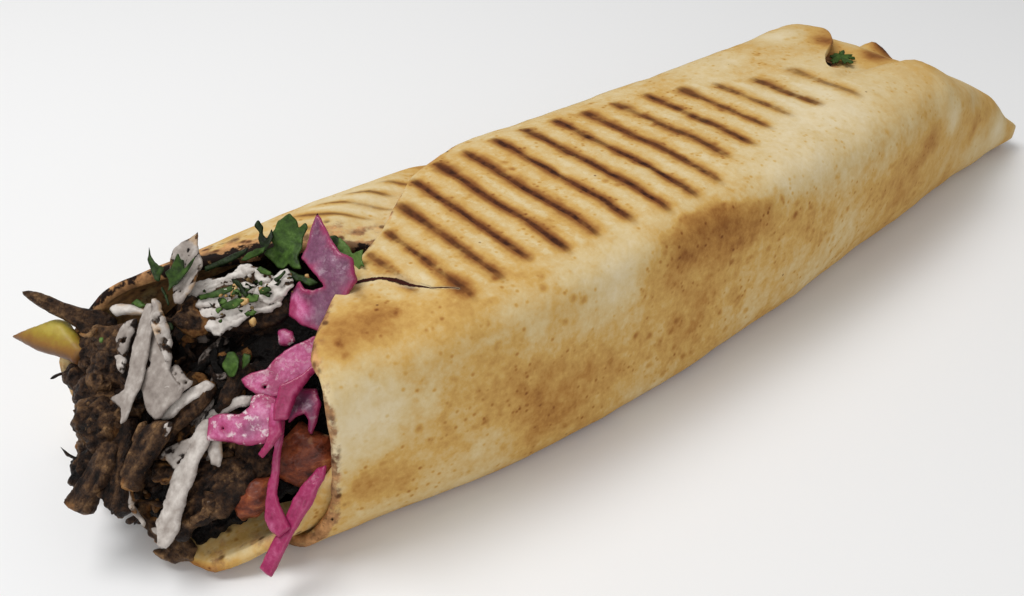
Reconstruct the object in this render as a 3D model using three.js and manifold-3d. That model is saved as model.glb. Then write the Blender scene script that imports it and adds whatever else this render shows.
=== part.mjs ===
// Doner kebab sandwich: one thin round flatbread rolled round a filling of shaved meat, red cabbage,
// parsley, tomato and a pickled pepper. It was pressed in a ribbed grill, so its top is flat. One end is
// open and shows the filling, and the other is pinched shut.
// Millimetres, +Z up. The roll lies along X with its mouth towards -X, and its underside is at z = 0.
// Two sets of working coordinates are used, and the group at the end shifts both to the origin:
//   roll: x from the front corner of the mouth, and phi, the angle round the roll, in degrees. phi is 0
//         towards +Y and 90 on top, and it runs past 360 where the sheet goes round a second time.
//   face: right, up and out on the slanting face of the filling, from the middle of the mouth.
import * as THREE from "three";
import { mergeVertices } from "three/addons/utils/BufferGeometryUtils.js";
import Module from "manifold-3d";

const wasm = await Module();
wasm.setup();

// ---------------------------------------------------------------- driving dimensions
const ORIGIN_X = 110; // roll coordinates of the part's origin
const ORIGIN_Y = 19;

const BREAD = 1.8; // thickness of the flatbread
const LAYER_STEP = 2.3; // from one turn's outer face to the next one's
const CLEARANCE = 0.4; // between touching pieces
const SEAM = 48; // phi of the sheet's outer edge, on the far top corner
const SHEET_END = 696; // phi of its inner edge, under the filling
const RAYS_PER_TURN = 36;
const STATIONS = [[70, 5], [158, 5], [null, 10]]; // x up to which the sheet has so many steps; null is its end
const PRESS = [1.03, 1.02]; // how much the press widens the flat of the underside and of the top

const POCKET_DIP = 2.4; // how far the tucked layer drops under the notch at the closed end
const FEATHER = 14; // length over which the sheet thins to its edge on the closed end's front slope
const FOLD_RISE = 4; // height of the fold that stands up behind the notch
const FOLD_AT = [206, 436.5]; // its x and phi
const FOLD_SPREAD = [4, 8.5];

const CORE_ENDS = [-24, 212]; // x of the two ends of the solid heart of the filling
const CORE_SINK = 1; // how far its flat face lies behind the plane of the mouth
const HEART = { at: [-5, -8, -2], radii: [20, 19, 11] }; // the bulge on that face

const MOUTH = new THREE.Vector3(2, 23, 21); // middle of the mouth
const OUT = new THREE.Vector3(-0.6, -0.292, 0.745).normalize(); // the way the mouth faces
const UP = new THREE.Vector3(0, 0, 1).addScaledVector(OUT, -OUT.z).normalize();
const RIGHT = UP.clone().cross(OUT);

// ---------------------------------------------------------------- curves
// A smooth curve through [at, value] rows that never overshoots them.
function curve(rows) {
  const last = rows.length - 1;
  const slope = rows.slice(1).map((row, i) => (row[1] - rows[i][1]) / (row[0] - rows[i][0]));
  const tangent = rows.map((_, i) => {
    if (i === 0 || i === last) return slope[Math.min(i, last - 1)];
    const [before, after] = [slope[i - 1], slope[i]];
    return before * after <= 0 ? 0 : (2 * before * after) / (before + after);
  });
  return (x) => {
    if (x <= rows[0][0]) return rows[0][1];
    if (x >= rows[last][0]) return rows[last][1];
    const i = rows.findIndex((row) => row[0] > x) - 1;
    const step = rows[i + 1][0] - rows[i][0];
    const t = (x - rows[i][0]) / step;
    const u = 1 - t;
    return (
      rows[i][1] * (1 + 2 * t) * u * u +
      rows[i + 1][1] * (1 + 2 * u) * t * t +
      step * (tangent[i] * t * u * u - tangent[i + 1] * t * t * u)
    );
  };
}

function ease(from, to, x) {
  const t = Math.min(1, Math.max(0, (x - from) / (to - from)));
  return t * t * (3 - 2 * t);
}

const bell = (offset, spread) => Math.exp(-((offset / spread) ** 2));

// ---------------------------------------------------------------- the roll's form
const frontSide = curve([
  [-24, -4], [0, -6.5], [20, -9.5], [45, -11.5], [116, -12], [150, -10], [181, -6], [211, -2], [243, 2],
]);
const backSide = curve([
  [-24, 51], [0, 51.5], [40, 49.5], [100, 50], [150, 49.5], [190, 53], [215, 52], [243, 45],
]);
const topHeight = curve([
  [-24, 39], [0, 40.5], [30, 41], [60, 40.5], [150, 40.5], [182, 39.5], [205, 30.5], [225, 20.5], [242, 8.9],
]);
const frontFoot = curve([
  [0, 2.5], [20, 2.2], [45, 0.5], [77, -0.5], [116, 2], [150, 3.5], [181, 1], [243, 1],
]);
// How far the underside curls up off the ground towards the two ends.
const floorRise = curve([[-24, 0.9], [20, 0.35], [40, 0], [158, 0], [168, 0.3], [243, 0.9]]);
// How square each corner of the cross-section is, as the power of a superellipse.
const CORNERS = [
  [45, curve([[-20, 2.8], [8, 3], [30, 4.2], [60, 4.4], [243, 4]])],
  [135, curve([[0, 4], [60, 6], [110, 5.5], [170, 4], [243, 4]])],
  [225, curve([[0, 7], [50, 8], [110, 7], [180, 5], [243, 5]])],
  [315, curve([[0, 4.5], [243, 4]])],
];

// Where the sheet's two ends lie, by phi from its outer edge inwards.
const mouthEdge = curve([
  [SEAM, 70], [56, 60], [63, 50], [86, 35], [105, 21], [120, 13], [132, 8], [150, 6.5], [180, 6], [205, 5],
  [226, 0], [250, -6], [290, -15], [330, -18], [360, -18], [387, -11], [409, -4], [422, 6], [439, 28],
  [450, 35], [490, 30], [520, 22], [545, 8], [565, 3], [580, -5], [590, -14], [610, -18], [670, -18],
  [SHEET_END, -16],
]);
const closedEdge = curve([
  [SEAM, 189], [64, 187], [78, 180.5], [88, 168], [97, 163], [105, 167], [112, 184], [123, 214], [134, 234],
  [150, 239], [400, 241], [450, 238], [500, 240], [SHEET_END, 240],
]);

const radians = (degrees) => (degrees * Math.PI) / 180;

// The point at x and phi on the cross-section, set in from the outermost surface.
function skin(phi, x, inset) {
  const [c, s] = [Math.cos(radians(phi)), Math.sin(radians(phi))];
  const nearness = (at) => Math.max(0, Math.cos(radians(phi - at))) ** 2;
  const power = CORNERS.reduce((sum, [at, value]) => sum + value(x) * nearness(at), 0);
  const reach = (Math.abs(c) ** power + Math.abs(s) ** power) ** (-1 / power);
  const [halfWidth, halfHeight] = [(backSide(x) - frontSide(x)) / 2, topHeight(x) / 2];
  const pressed = halfHeight + (halfHeight - inset) * reach * s * PRESS[s < 0 ? 0 : 1];
  const z = Math.min(2 * halfHeight - inset, Math.max(inset, pressed));
  const low = Math.max(0, 1 - z / halfHeight);
  const foot = frontFoot(x) * low ** 2 * Math.min(1, Math.max(0, -3 * c));
  const y = (backSide(x) + frontSide(x)) / 2 + (halfWidth - inset) * reach * c + foot;
  return new THREE.Vector3(x, y, z + floorRise(x) * low ** 2);
}

// How far the sheet lies in from the outermost surface. The second turn goes under the first, and it
// bulges out again in front of the first turn's slanting edge.
function layerInset(phi, x) {
  const underSeam = ease(SEAM + 275, SEAM + 350, phi);
  const flapEdge = phi < SEAM + 360 ? mouthEdge(SEAM) : mouthEdge(phi - 360);
  const pressed = 0.35 + 0.65 * ease(flapEdge - 16, flapEdge - 2, x);
  const across = ease(420, 445, phi) * (1 - ease(467, 486, phi));
  const dip = POCKET_DIP * across * ease(152, 165, x) * (1 - ease(180, 192, x));
  const fold = FOLD_RISE * bell(x - FOLD_AT[0], FOLD_SPREAD[0]) * bell(phi - FOLD_AT[1], FOLD_SPREAD[1]);
  return LAYER_STEP * underSeam * pressed + dip - fold;
}

// ---------------------------------------------------------------- meshes and solids
function geometryOf(points, triangles) {
  const geometry = new THREE.BufferGeometry();
  geometry.setAttribute("position", new THREE.Float32BufferAttribute(points.flatMap((p) => [p.x, p.y, p.z]), 3));
  geometry.setIndex(triangles.flat());
  return geometry;
}

// A sheet between outer[i][j] and inner[i][j], closed round its four edges.
function sheetGeometry(outer, inner) {
  const [rows, columns] = [outer.length, outer[0].length];
  const at = (side, i, j) => (side * rows + i) * columns + j;
  const triangles = [];
  const quad = (a, b, c, d) => triangles.push([a, b, c], [a, c, d]);
  for (let i = 0; i < rows; i++)
    for (let j = 0; j < columns; j++) {
      const [down, along] = [i + 1 < rows, j + 1 < columns];
      if (down && along) {
        quad(at(0, i, j), at(0, i + 1, j), at(0, i + 1, j + 1), at(0, i, j + 1));
        quad(at(1, i, j), at(1, i, j + 1), at(1, i + 1, j + 1), at(1, i + 1, j));
      }
      if (down && j === 0) quad(at(1, i, j), at(1, i + 1, j), at(0, i + 1, j), at(0, i, j));
      if (down && !along) quad(at(0, i, j), at(0, i + 1, j), at(1, i + 1, j), at(1, i, j));
      if (along && i === 0) quad(at(0, i, j), at(0, i, j + 1), at(1, i, j + 1), at(1, i, j));
      if (along && !down) quad(at(1, i, j), at(1, i, j + 1), at(0, i, j + 1), at(0, i, j));
    }
  return geometryOf([...outer.flat(), ...inner.flat()], triangles);
}

// A closed skin over rings of equal length, with a point at each end.
function ringsGeometry(rings, first, last) {
  const size = rings[0].length;
  const [start, end, lastRing] = [rings.length * size, rings.length * size + 1, (rings.length - 1) * size];
  const triangles = [];
  for (let k = 0; k < size; k++) {
    const next = (k + 1) % size;
    triangles.push([start, next, k], [end, lastRing + k, lastRing + next]);
    for (let low = 0; low < lastRing; low += size) {
      triangles.push([low + k, low + next, low + size + next], [low + k, low + size + next, low + size + k]);
    }
  }
  return geometryOf([...rings.flat(), first, last], triangles);
}

// The same closed mesh as a solid for joining and cutting, with its faces turned outwards.
function solidOf(geometry) {
  const bare = geometry.clone();
  bare.deleteAttribute("normal");
  bare.deleteAttribute("uv");
  const merged = mergeVertices(bare, 1e-4);
  const vertProperties = new Float32Array(merged.attributes.position.array);
  const solid = (triVerts) => new wasm.Manifold(new wasm.Mesh({ numProp: 3, vertProperties, triVerts }));
  const made = solid(new Uint32Array(merged.index.array));
  return made.volume() > 0 ? made : solid(new Uint32Array(merged.index.array).reverse());
}

function geometryFrom(solid) {
  const { vertProperties, triVerts } = solid.getMesh();
  const geometry = new THREE.BufferGeometry();
  geometry.setAttribute("position", new THREE.BufferAttribute(vertProperties, 3));
  geometry.setIndex(new THREE.BufferAttribute(triVerts, 1));
  return geometry;
}

function largest(solid) {
  return solid.decompose().reduce((best, piece) => (piece.volume() > best.volume() ? piece : best));
}

// ---------------------------------------------------------------- pieces on the face of the filling
// A place as a point: [right, up, out] on the face of the filling, or a point in roll coordinates.
function facePoint(place) {
  if (place.isVector3) return place.clone();
  const [right, up, out] = place;
  return MOUTH.clone().addScaledVector(RIGHT, right).addScaledVector(UP, up).addScaledVector(OUT, out);
}

// A band of rectangular section through points [right, up, out]. Its widths are spread evenly along it,
// and lean turns its broad side away from the way the mouth faces, in degrees.
function band({ through, widths, thickness, lean = 0, steps = 6 }, grow = 0) {
  const path = new THREE.CatmullRomCurve3(through.map(facePoint));
  const rings = [];
  for (let i = 0; i <= steps; i++) {
    const t = i / steps;
    const along = path.getTangent(t);
    const facing = OUT.clone().addScaledVector(along, -OUT.dot(along)).normalize();
    facing.applyAxisAngle(along, radians(lean));
    const side = along.clone().cross(facing);
    const k = Math.min(widths.length - 2, Math.floor(t * (widths.length - 1)));
    const share = t * (widths.length - 1) - k;
    const half = (widths[k] * (1 - share) + widths[k + 1] * share) / 2 + grow;
    const depth = thickness / 2 + grow;
    const centre = path.getPoint(t).addScaledVector(along, grow * (i === 0 ? -1 : i === steps ? 1 : 0));
    rings.push([[-1, -1], [1, -1], [1, 1], [-1, 1]].map(([a, b]) =>
      centre.clone().addScaledVector(side, a * half).addScaledVector(facing, b * depth)));
  }
  const middle = (ring) => ring.reduce((sum, p) => sum.addScaledVector(p, 1 / ring.length), new THREE.Vector3());
  return ringsGeometry(rings, middle(rings[0]), middle(rings[steps]));
}

// A lobed leaf, a thin wavy sheet. It lies across the direction facing, with its stem at the first lobe.
function leaf({ at, size, facing, turn = 0, lobes = 3, curl = 0.25 }, grow = 0) {
  const [around, thickness] = [24, 0.6];
  const up = new THREE.Vector3(...facing).normalize();
  const level = new THREE.Vector3(0, 0, 1).cross(up).lengthSq() < 0.01;
  const ahead = level ? RIGHT.clone() : new THREE.Vector3(0, 0, 1);
  ahead.addScaledVector(up, -ahead.dot(up)).normalize().applyAxisAngle(up, radians(turn));
  const across = up.clone().cross(ahead);
  const place = (angle, share, side) => {
    const lobe = 0.5 + 0.5 * Math.abs(Math.cos((lobes * angle) / 2)) ** 0.7;
    const tooth = 1 + 0.1 * Math.cos(12 * angle);
    const reach = share * (size * lobe * tooth + grow);
    const wave = size * curl * (share * share * Math.cos(2 * angle + 0.6) - 0.5 * share);
    return facePoint(at)
      .addScaledVector(ahead, reach * Math.cos(angle))
      .addScaledVector(across, reach * Math.sin(angle))
      .addScaledVector(up, wave + side * (thickness / 2 + grow));
  };
  const angles = Array.from({ length: around }, (_, k) => (2 * Math.PI * k) / around);
  const ring = (share, side) => angles.map((angle) => place(angle, share, side));
  const rings = [ring(0.55, 1), ring(1, 1), ring(1, -1), ring(0.55, -1)];
  return ringsGeometry(rings, place(0, 0, 1), place(0, 0, -1));
}

// A rounded lump with uneven radii, given by its half sizes along right, up and out.
function lump({ at, radii, wobble = 0.12 }, grow = 0) {
  const bare = new THREE.IcosahedronGeometry(1, 1).deleteAttribute("normal").deleteAttribute("uv");
  const geometry = mergeVertices(bare);
  const position = geometry.attributes.position;
  const p = new THREE.Vector3();
  for (let i = 0; i < position.count; i++) {
    p.fromBufferAttribute(position, i);
    const swell = 1 + wobble * Math.sin(3 * p.x + 5 * p.y + at[0]) * Math.cos(4 * p.z + at[1]);
    const local = radii.map((radius, k) => at[k] + p.getComponent(k) * (radius * swell + grow));
    position.setXYZ(i, ...facePoint(local).toArray());
  }
  return geometry;
}

// ---------------------------------------------------------------- the flatbread
// Angles round the roll that part a middle cross-section into equal lengths, from the seam on.
function rayAngles() {
  const [middle, fine] = [90, 3600];
  const outline = Array.from({ length: fine + 1 }, (_, k) => skin(SEAM + (360 * k) / fine, middle, 0));
  const lengths = [0];
  for (let k = 1; k <= fine; k++) lengths.push(lengths[k - 1] + outline[k].distanceTo(outline[k - 1]));
  const angles = Array.from({ length: RAYS_PER_TURN }, (_, k) => {
    const i = lengths.findIndex((length) => length >= (lengths[fine] * k) / RAYS_PER_TURN);
    return SEAM + (360 * i) / fine;
  });
  return [...angles, ...angles.map((angle) => angle + 360)].filter((angle) => angle <= SHEET_END);
}

// How much the outer turn is thinned at x beside the front edge of the notch at the closed end.
function feather(phi, x) {
  const beside = ease(101, 107, phi) * (1 - ease(142, 165, phi));
  return 0.8 * BREAD * beside * (1 - ease(0, FEATHER, closedEdge(phi) - x));
}

function flatbread(grow = 0) {
  const rows = rayAngles().map((phi) => {
    const xs = [mouthEdge(phi) - grow];
    for (const [until, steps] of STATIONS) {
      const from = xs[xs.length - 1];
      const to = until ?? closedEdge(phi) + grow;
      for (let j = 1; j <= steps; j++) xs.push(from + ((to - from) * j) / steps);
    }
    return xs.map((x) => [phi, x]);
  });
  const face = (inset) => rows.map((row) => row.map(([phi, x]) => skin(phi, x, layerInset(phi, x) + inset(phi, x))));
  return sheetGeometry(face((phi, x) => feather(phi, x) - grow), face(() => BREAD + grow));
}

// ---------------------------------------------------------------- the meat
const CORE_STATIONS = [-23, -20, -14, -4, 10, 30, 60, 100, 140, 152, 165, 178, 190, 200, 211];

function fillingCore() {
  const rays = rayAngles().slice(0, RAYS_PER_TURN);
  const ring = (x) => rays.map((phi) => {
    const inner = layerInset(phi + 360, x);
    const inset = Math.max(inner, LAYER_STEP) + BREAD + 2 * CLEARANCE;
    return skin(phi, x, Math.min(inset, topHeight(x) / 2 - CLEARANCE));
  });
  const middle = (x) => new THREE.Vector3(x, (frontSide(x) + backSide(x)) / 2, topHeight(x) / 2);
  const [front, back] = CORE_ENDS.map(middle);
  const tube = solidOf(ringsGeometry(CORE_STATIONS.map(ring), front, back));
  const cutter = new THREE.BoxGeometry(200, 200, 100);
  cutter.translate(0, 0, 50 - CORE_SINK);
  cutter.applyMatrix4(new THREE.Matrix4().makeBasis(RIGHT, UP, OUT).setPosition(MOUTH));
  return tube.subtract(solidOf(cutter));
}

// Shaved slices, from the back left of the mouth to its front right.
const SLICES = [
  { through: [[-37, 4.4, 14], [-30, 4, 11], [-22, 2, 5]], widths: [1, 3.5, 4.5], thickness: 2.4 },
  { through: [[-27.5, -8, 12], [-25, -4, 7]], widths: [0.6, 2], thickness: 1.2, steps: 2 },
  { through: [[-20, -18, 12], [-15, -21, 10]], widths: [0.5, 0.9], thickness: 0.9, steps: 2 },
  { through: [[-9, -13, 12.5], [-10, -20, 13.5], [-9.6, -28, 12]], widths: [4, 5, 4.4], thickness: 3.2 },
  { through: [[-8, -10, 10], [-7, -19, 11], [-5.6, -26, 9]], widths: [3, 4, 3.6], thickness: 3 },
  { through: [[-2.5, -7, 10.5], [-2.6, -16, 12], [-3.6, -25, 8]], widths: [3, 4.2, 2.6], thickness: 2.2 },
  { through: [[2.5, 2, 5], [1.5, -5, 9], [0, -12.5, 10]], widths: [4.5, 6, 5], thickness: 2.6, lean: 25 },
  { through: [[7, -7, 6], [6.5, -17, 7], [6, -26, 4]], widths: [7, 9, 7], thickness: 3, lean: -15 },
  { through: [[0, -27, 3], [6, -29.5, 1.5]], widths: [4, 3], thickness: 2, steps: 3 },
  { through: [[-15.5, 14, 5], [-12, 16, 9], [-6.5, 22, 15]], widths: [5, 5.5, 3.5], thickness: 1.2, lean: 20 },
  { through: [[-23, 6, 8], [-18, 7, 10], [-13, 8.5, 9]], widths: [2.4, 3, 2.4], thickness: 2 },
  { through: [[-12, 9, 12.5], [-9, 0, 14.5], [-6, -11, 14]], widths: [2.5, 4, 2], thickness: 1.2, lean: -20 },
  { through: [[-11, 8.4, 11], [-5, 0, 13], [-1.5, -8.4, 13]], widths: [4, 8, 4], thickness: 1.2, lean: 15 },
  { through: [[-3.2, 0, 11.5], [1.4, -2.5, 11]], widths: [3.5, 3], thickness: 1.4, steps: 3 },
  { through: [[-11, 11, 6], [-1, 15.5, 8.5], [9.5, 20, 6]], widths: [5, 7, 6], thickness: 2 },
  { through: [[-7, 8, 5], [3, 11.5, 8], [10.5, 14.5, 6]], widths: [4, 6, 4], thickness: 2.4, lean: 10 },
  { through: [[-1.6, -8.4, 12], [1, -4.5, 12], [3.5, -0.5, 10]], widths: [2, 2.8, 2.2], thickness: 1.4, steps: 4 },
  { through: [[5.2, -6, 8], [5, -17, 9.5], [4.4, -28, 7]], widths: [3, 4.2, 4.6], thickness: 1.8 },
  { through: [[8, -9, 7.5], [8.2, -14, 7]], widths: [2.5, 2], thickness: 1.4, steps: 2 },
  { through: [[-2.5, -14, 7.5], [1, -13, 9], [4, -10.5, 7]], widths: [4, 5, 3.5], thickness: 2 },
  { through: [[4.5, -5, 6], [8, -3, 7.5], [10, -1.5, 5]], widths: [4, 4.6, 3], thickness: 1.6 },
  { through: [[1, 6, 1], [1.5, 0, 4], [2, -4, 4]], widths: [3, 3.6, 2.6], thickness: 1.6, lean: 50 },
];
const LUMPS = [
  { at: [-16, -12, 7], radii: [4.5, 4.5, 5] },
  { at: [-18.5, -3.5, 6], radii: [4.5, 4, 4.5] },
  { at: [-22, 0.5, 4], radii: [5, 3.5, 4.5] },
  { at: [-8.5, 10.5, 6], radii: [3, 4, 4] },
  { at: [-14, 2, 7], radii: [4.5, 4, 4.5] },
  { at: [-14, -20, 5], radii: [4, 5, 4.5] },
  { at: [-26.5, 3.5, 5], radii: [4.5, 4, 5] },
  { at: [-21, -8, 1], radii: [7, 8, 6] },
  { at: [-10, -20, 0], radii: [8, 5.5, 5] },
  { at: [-6, 13, 0], radii: [12, 8, 5] },
];

// ---------------------------------------------------------------- the toppings
const CABBAGE_THICKNESS = 1.1;
const CABBAGE = [
  {
    through: [[9, 32.5, 8.5], [12, 27, 8], [14.5, 22, 7], [13, 17, 6], [10.5, 13, 6.4]],
    widths: [1, 6.5, 9.5, 5, 8.5, 8],
    steps: 10,
  },
  { through: [[7.6, 11.5, 5], [11, 10.6, 4.6]], widths: [2.8, 2], steps: 2 },
  { through: [[18.5, 13, 4.6], [15, 8, 8], [10, 1.5, 9.4]], widths: [3.2, 4.4, 3.4], lean: -8 },
  {
    through: [[22, 11, 6], [18, 4.5, 11], [15.6, -2.5, 11.6], [16.8, -9, 9.4]],
    widths: [2.2, 2.6, 2.2, 1.8],
    lean: 30,
    steps: 8,
  },
  { through: [[15.6, -1.6, 8.2], [11, -4, 10], [6.6, -6.8, 11.6]], widths: [2.8, 4.4, 4.2] },
  { through: [[18.4, 3, 4], [19, -2.5, 4.4]], widths: [3.6, 2.4], steps: 3 },
  {
    through: [[18.6, -4.4, 8], [19, -10, 7.4], [19.4, -15, 6.6], [21.6, -19.6, 4.4]],
    widths: [1.2, 1.2, 2.6, 1.6],
    steps: 8,
  },
  { through: [[25.4, -9.4, 6.4], [24.4, -16, 5.4], [22.4, -25, 4.6]], widths: [2, 2.2, 2] },
];
const PARSLEY = [
  { at: [5, 25, 4.4], size: 6, facing: [-0.6, -0.3, 0.74], turn: -20, curl: 0.2 },
  { at: [0.6, 24.6, 8.8], size: 3.8, facing: [-0.6, -0.4, 0.7], turn: 70, curl: 0.15 },
  { at: [-11.5, 16.8, 11.6], size: 4.6, facing: [-0.4, -0.7, 0.5], turn: 40, curl: 0.3 },
  { at: [13.4, 26.5, -3.4], size: 4.2, facing: [-0.6, -0.3, 0.74], turn: -60, curl: 0.15 },
  { at: [4.6, 5.4, 4.4], size: 3.2, facing: [-0.6, -0.6, 0.5] },
  { at: new THREE.Vector3(174, 17.8, 38.4), size: 3.6, facing: [-0.2, -0.2, 1], curl: 0.15 },
];
const TOMATO = [
  { at: [17.8, -6.6, -1.2], radii: [5, 4.6, 3.2], wobble: 0.1 },
  { at: [13.6, -15.6, 0.4], radii: [3.4, 3.8, 2.8], wobble: 0.1 },
];
const PEPPER = {
  through: [[-41, -4, 8], [-35.5, -2.6, 8.4], [-27.5, -2, 7]],
  widths: [0.8, 4.6, 6],
  thickness: 2.6,
};

// ---------------------------------------------------------------- the part
const wrap = new THREE.Group();
wrap.position.set(-ORIGIN_X, -ORIGIN_Y, 0);

function add(name, geometry, color, roughness) {
  const material = new THREE.MeshStandardMaterial({ color, roughness, metalness: 0 });
  const mesh = new THREE.Mesh(geometryFrom(solidOf(geometry)), material);
  mesh.name = name;
  wrap.add(mesh);
}

// Each topping's name, how it is made, and its colour.
const cabbageStrip = (piece) => (grow) => band({ thickness: CABBAGE_THICKNESS, ...piece }, grow);
const toppings = [
  ...CABBAGE.map((piece, i) => [`red_cabbage_${i + 1}`, cabbageStrip(piece), 0xb04a8c]),
  ...PARSLEY.map((piece, i) => [`parsley_${i + 1}`, (grow) => leaf(piece, grow), 0x4a6b2a]),
  ...TOMATO.map((piece, i) => [`tomato_${i + 1}`, (grow) => lump(piece, grow), 0x6e2f1f]),
  ["pickled_pepper", (grow) => band(PEPPER, grow), 0xb0973f],
];

function meatFilling() {
  let heap = fillingCore().add(solidOf(lump({ ...HEART, wobble: 0.05 })));
  for (const slice of SLICES) heap = heap.add(solidOf(band(slice)));
  for (const piece of LUMPS) heap = heap.add(solidOf(lump(piece)));
  heap = heap.subtract(solidOf(flatbread(CLEARANCE)));
  for (const [, make] of toppings) heap = heap.subtract(solidOf(make(CLEARANCE)));
  return geometryFrom(largest(heap));
}

add("flatbread", flatbread(), 0xd9bd85, 0.8);
add("meat_filling", meatFilling(), 0x3b2a20, 0.7);
for (const [name, make, color] of toppings) add(name, make(0), color, 0.5);

export default wrap;
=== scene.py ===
"""The looks of a doner kebab sandwich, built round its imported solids.

Shapes are worked out in millimetres in two sets of working coordinates, as the solids are:
  roll: x from the front corner of the mouth, and phi, the angle round the roll, in degrees. phi is 0
        towards +Y and 90 on top, and it runs past 360 where the sheet goes round a second time.
  face: right, up and out on the slanting face of the filling, from the middle of the mouth.
put() turns them into metres in the frame of the solids.
"""
import math

import bmesh
import bpy
import numpy as np
from mathutils import Matrix, Vector
from mathutils.geometry import delaunay_2d_cdt


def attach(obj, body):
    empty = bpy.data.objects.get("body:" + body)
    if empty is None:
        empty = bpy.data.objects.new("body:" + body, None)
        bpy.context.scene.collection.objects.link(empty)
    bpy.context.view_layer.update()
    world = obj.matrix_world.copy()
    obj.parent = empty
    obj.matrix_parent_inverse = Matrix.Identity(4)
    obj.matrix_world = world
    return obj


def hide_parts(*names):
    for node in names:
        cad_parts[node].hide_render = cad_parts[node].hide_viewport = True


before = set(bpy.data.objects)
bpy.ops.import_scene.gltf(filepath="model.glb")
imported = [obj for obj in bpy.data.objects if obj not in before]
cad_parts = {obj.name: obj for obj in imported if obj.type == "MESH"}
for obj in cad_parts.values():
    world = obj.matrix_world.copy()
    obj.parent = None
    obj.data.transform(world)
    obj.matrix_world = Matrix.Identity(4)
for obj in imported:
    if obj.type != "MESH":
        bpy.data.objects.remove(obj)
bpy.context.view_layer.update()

MM = 0.001
ORIGIN = np.array([110.0, 19.0, 0.0])  # the frame's origin, in roll coordinates

# ---------------------------------------------------------------- the roll, as its solids have it
BREAD = 1.8  # thickness of the sheet
LAYER_STEP = 2.3  # from one turn to the next
TURN = 360
SEAM = 48.0  # phi of the outer turn's edge, where the sheet starts
SHEET_END = 696.0
SLIPS_UNDER = (SEAM + 275, SEAM + 350)  # phi over which the sheet goes in under its own edge
STEP_UNCOVERED = 0.35  # share of the step that is left where no outer turn lies over the sheet
PRESS = (1.03, 1.02)  # how far the lower and upper sides would bulge without the grill's flat plates
POCKET_DIP = 2.4  # how deep the inner turn dips in the notch, and phi and x over which it comes and goes
POCKET_ACROSS = (420, 445, 467, 486)
POCKET_ALONG = (152, 165, 180, 192)
FOLD_RISE = 4.0  # height, x and phi, and spread along both, of the small fold that stands up in the notch
FOLD_AT = (206.0, 436.5)
FOLD_SPREAD = (4.0, 8.5)
FEATHER = 14.0  # length over which the notch's front edge thins out, its depth, and phi beside it
FEATHER_DEPTH = 0.8 * BREAD
FEATHER_ACROSS = (101, 107, 142, 165)

MOUTH = np.array([2.0, 23.0, 21.0])
OUT = np.array([-0.6, -0.292, 0.745])
OUT /= np.linalg.norm(OUT)
UP = np.array([0.0, 0.0, 1.0]) - OUT[2] * OUT
UP /= np.linalg.norm(UP)
RIGHT = np.cross(UP, OUT)


def curve(rows):
    """A smooth curve through (at, value) rows that never overshoots them."""
    at, value = (np.array(column, float) for column in zip(*rows))
    slope = np.diff(value) / np.diff(at)
    tangent = np.concatenate([slope[:1], np.zeros(len(rows) - 2), slope[-1:]])
    for i in range(1, len(rows) - 1):
        before, after = slope[i - 1], slope[i]
        if before * after > 0:
            tangent[i] = 2 * before * after / (before + after)

    def at_x(x):
        x = np.clip(np.asarray(x, float), at[0], at[-1])
        i = np.clip(np.searchsorted(at, x, side="right") - 1, 0, len(rows) - 2)
        step = at[i + 1] - at[i]
        t = (x - at[i]) / step
        u = 1 - t
        return (value[i] * (1 + 2 * t) * u * u + value[i + 1] * (1 + 2 * u) * t * t
                + step * (tangent[i] * t * u * u - tangent[i + 1] * t * t * u))
    return at_x


def ease(start, end, x):
    """0 at start to 1 at end, smoothly, and level beyond them."""
    t = np.clip((np.asarray(x, float) - start) / (end - start), 0, 1)
    return t * t * (3 - 2 * t)


def band(rise, top, fall, end, x):
    """1 from top to fall, and 0 before rise and after end."""
    return ease(rise, top, x) * (1 - ease(fall, end, x))


def bell(offset, spread):
    return np.exp(-((offset / spread) ** 2))


front_side = curve([(-24, -4), (0, -6.5), (20, -9.5), (45, -11.5), (116, -12), (150, -10), (181, -6),
                    (211, -2), (243, 2)])
back_side = curve([(-24, 51), (0, 51.5), (40, 49.5), (100, 50), (150, 49.5), (190, 53), (215, 52), (243, 45)])
top_height = curve([(-24, 39), (0, 40.5), (30, 41), (60, 40.5), (150, 40.5), (182, 39.5), (205, 30.5),
                    (225, 20.5), (242, 8.9)])
front_foot = curve([(0, 2.5), (20, 2.2), (45, 0.5), (77, -0.5), (116, 2), (150, 3.5), (181, 1), (243, 1)])
floor_rise = curve([(-24, 0.9), (20, 0.35), (40, 0), (158, 0), (168, 0.3), (243, 0.9)])
# How square each corner of the cross-section is: its phi, and the power of its curve along x.
CORNERS = [
    (45, curve([(-20, 2.8), (8, 3), (30, 4.2), (60, 4.4), (243, 4)])),
    (135, curve([(0, 4), (60, 6), (110, 5.5), (170, 4), (243, 4)])),
    (225, curve([(0, 7), (50, 8), (110, 7), (180, 5), (243, 5)])),
    (315, curve([(0, 4.5), (243, 4)])),
]
# x of the sheet's two long edges, by phi.
mouth_edge = curve([
    (SEAM, 70), (56, 60), (63, 50), (86, 35), (105, 21), (120, 13), (132, 8), (150, 6.5), (180, 6), (205, 5),
    (226, 0), (250, -6), (290, -15), (330, -18), (360, -18), (387, -11), (409, -4), (422, 6), (439, 28),
    (450, 35), (490, 30), (520, 22), (545, 8), (565, 3), (580, -5), (590, -14), (610, -18), (670, -18),
    (SHEET_END, -16)])
closed_edge = curve([
    (SEAM, 189), (64, 187), (78, 180.5), (88, 168), (97, 163), (105, 167), (112, 184), (123, 214), (134, 234),
    (150, 239), (400, 241), (450, 238), (500, 240), (SHEET_END, 240)])


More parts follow.
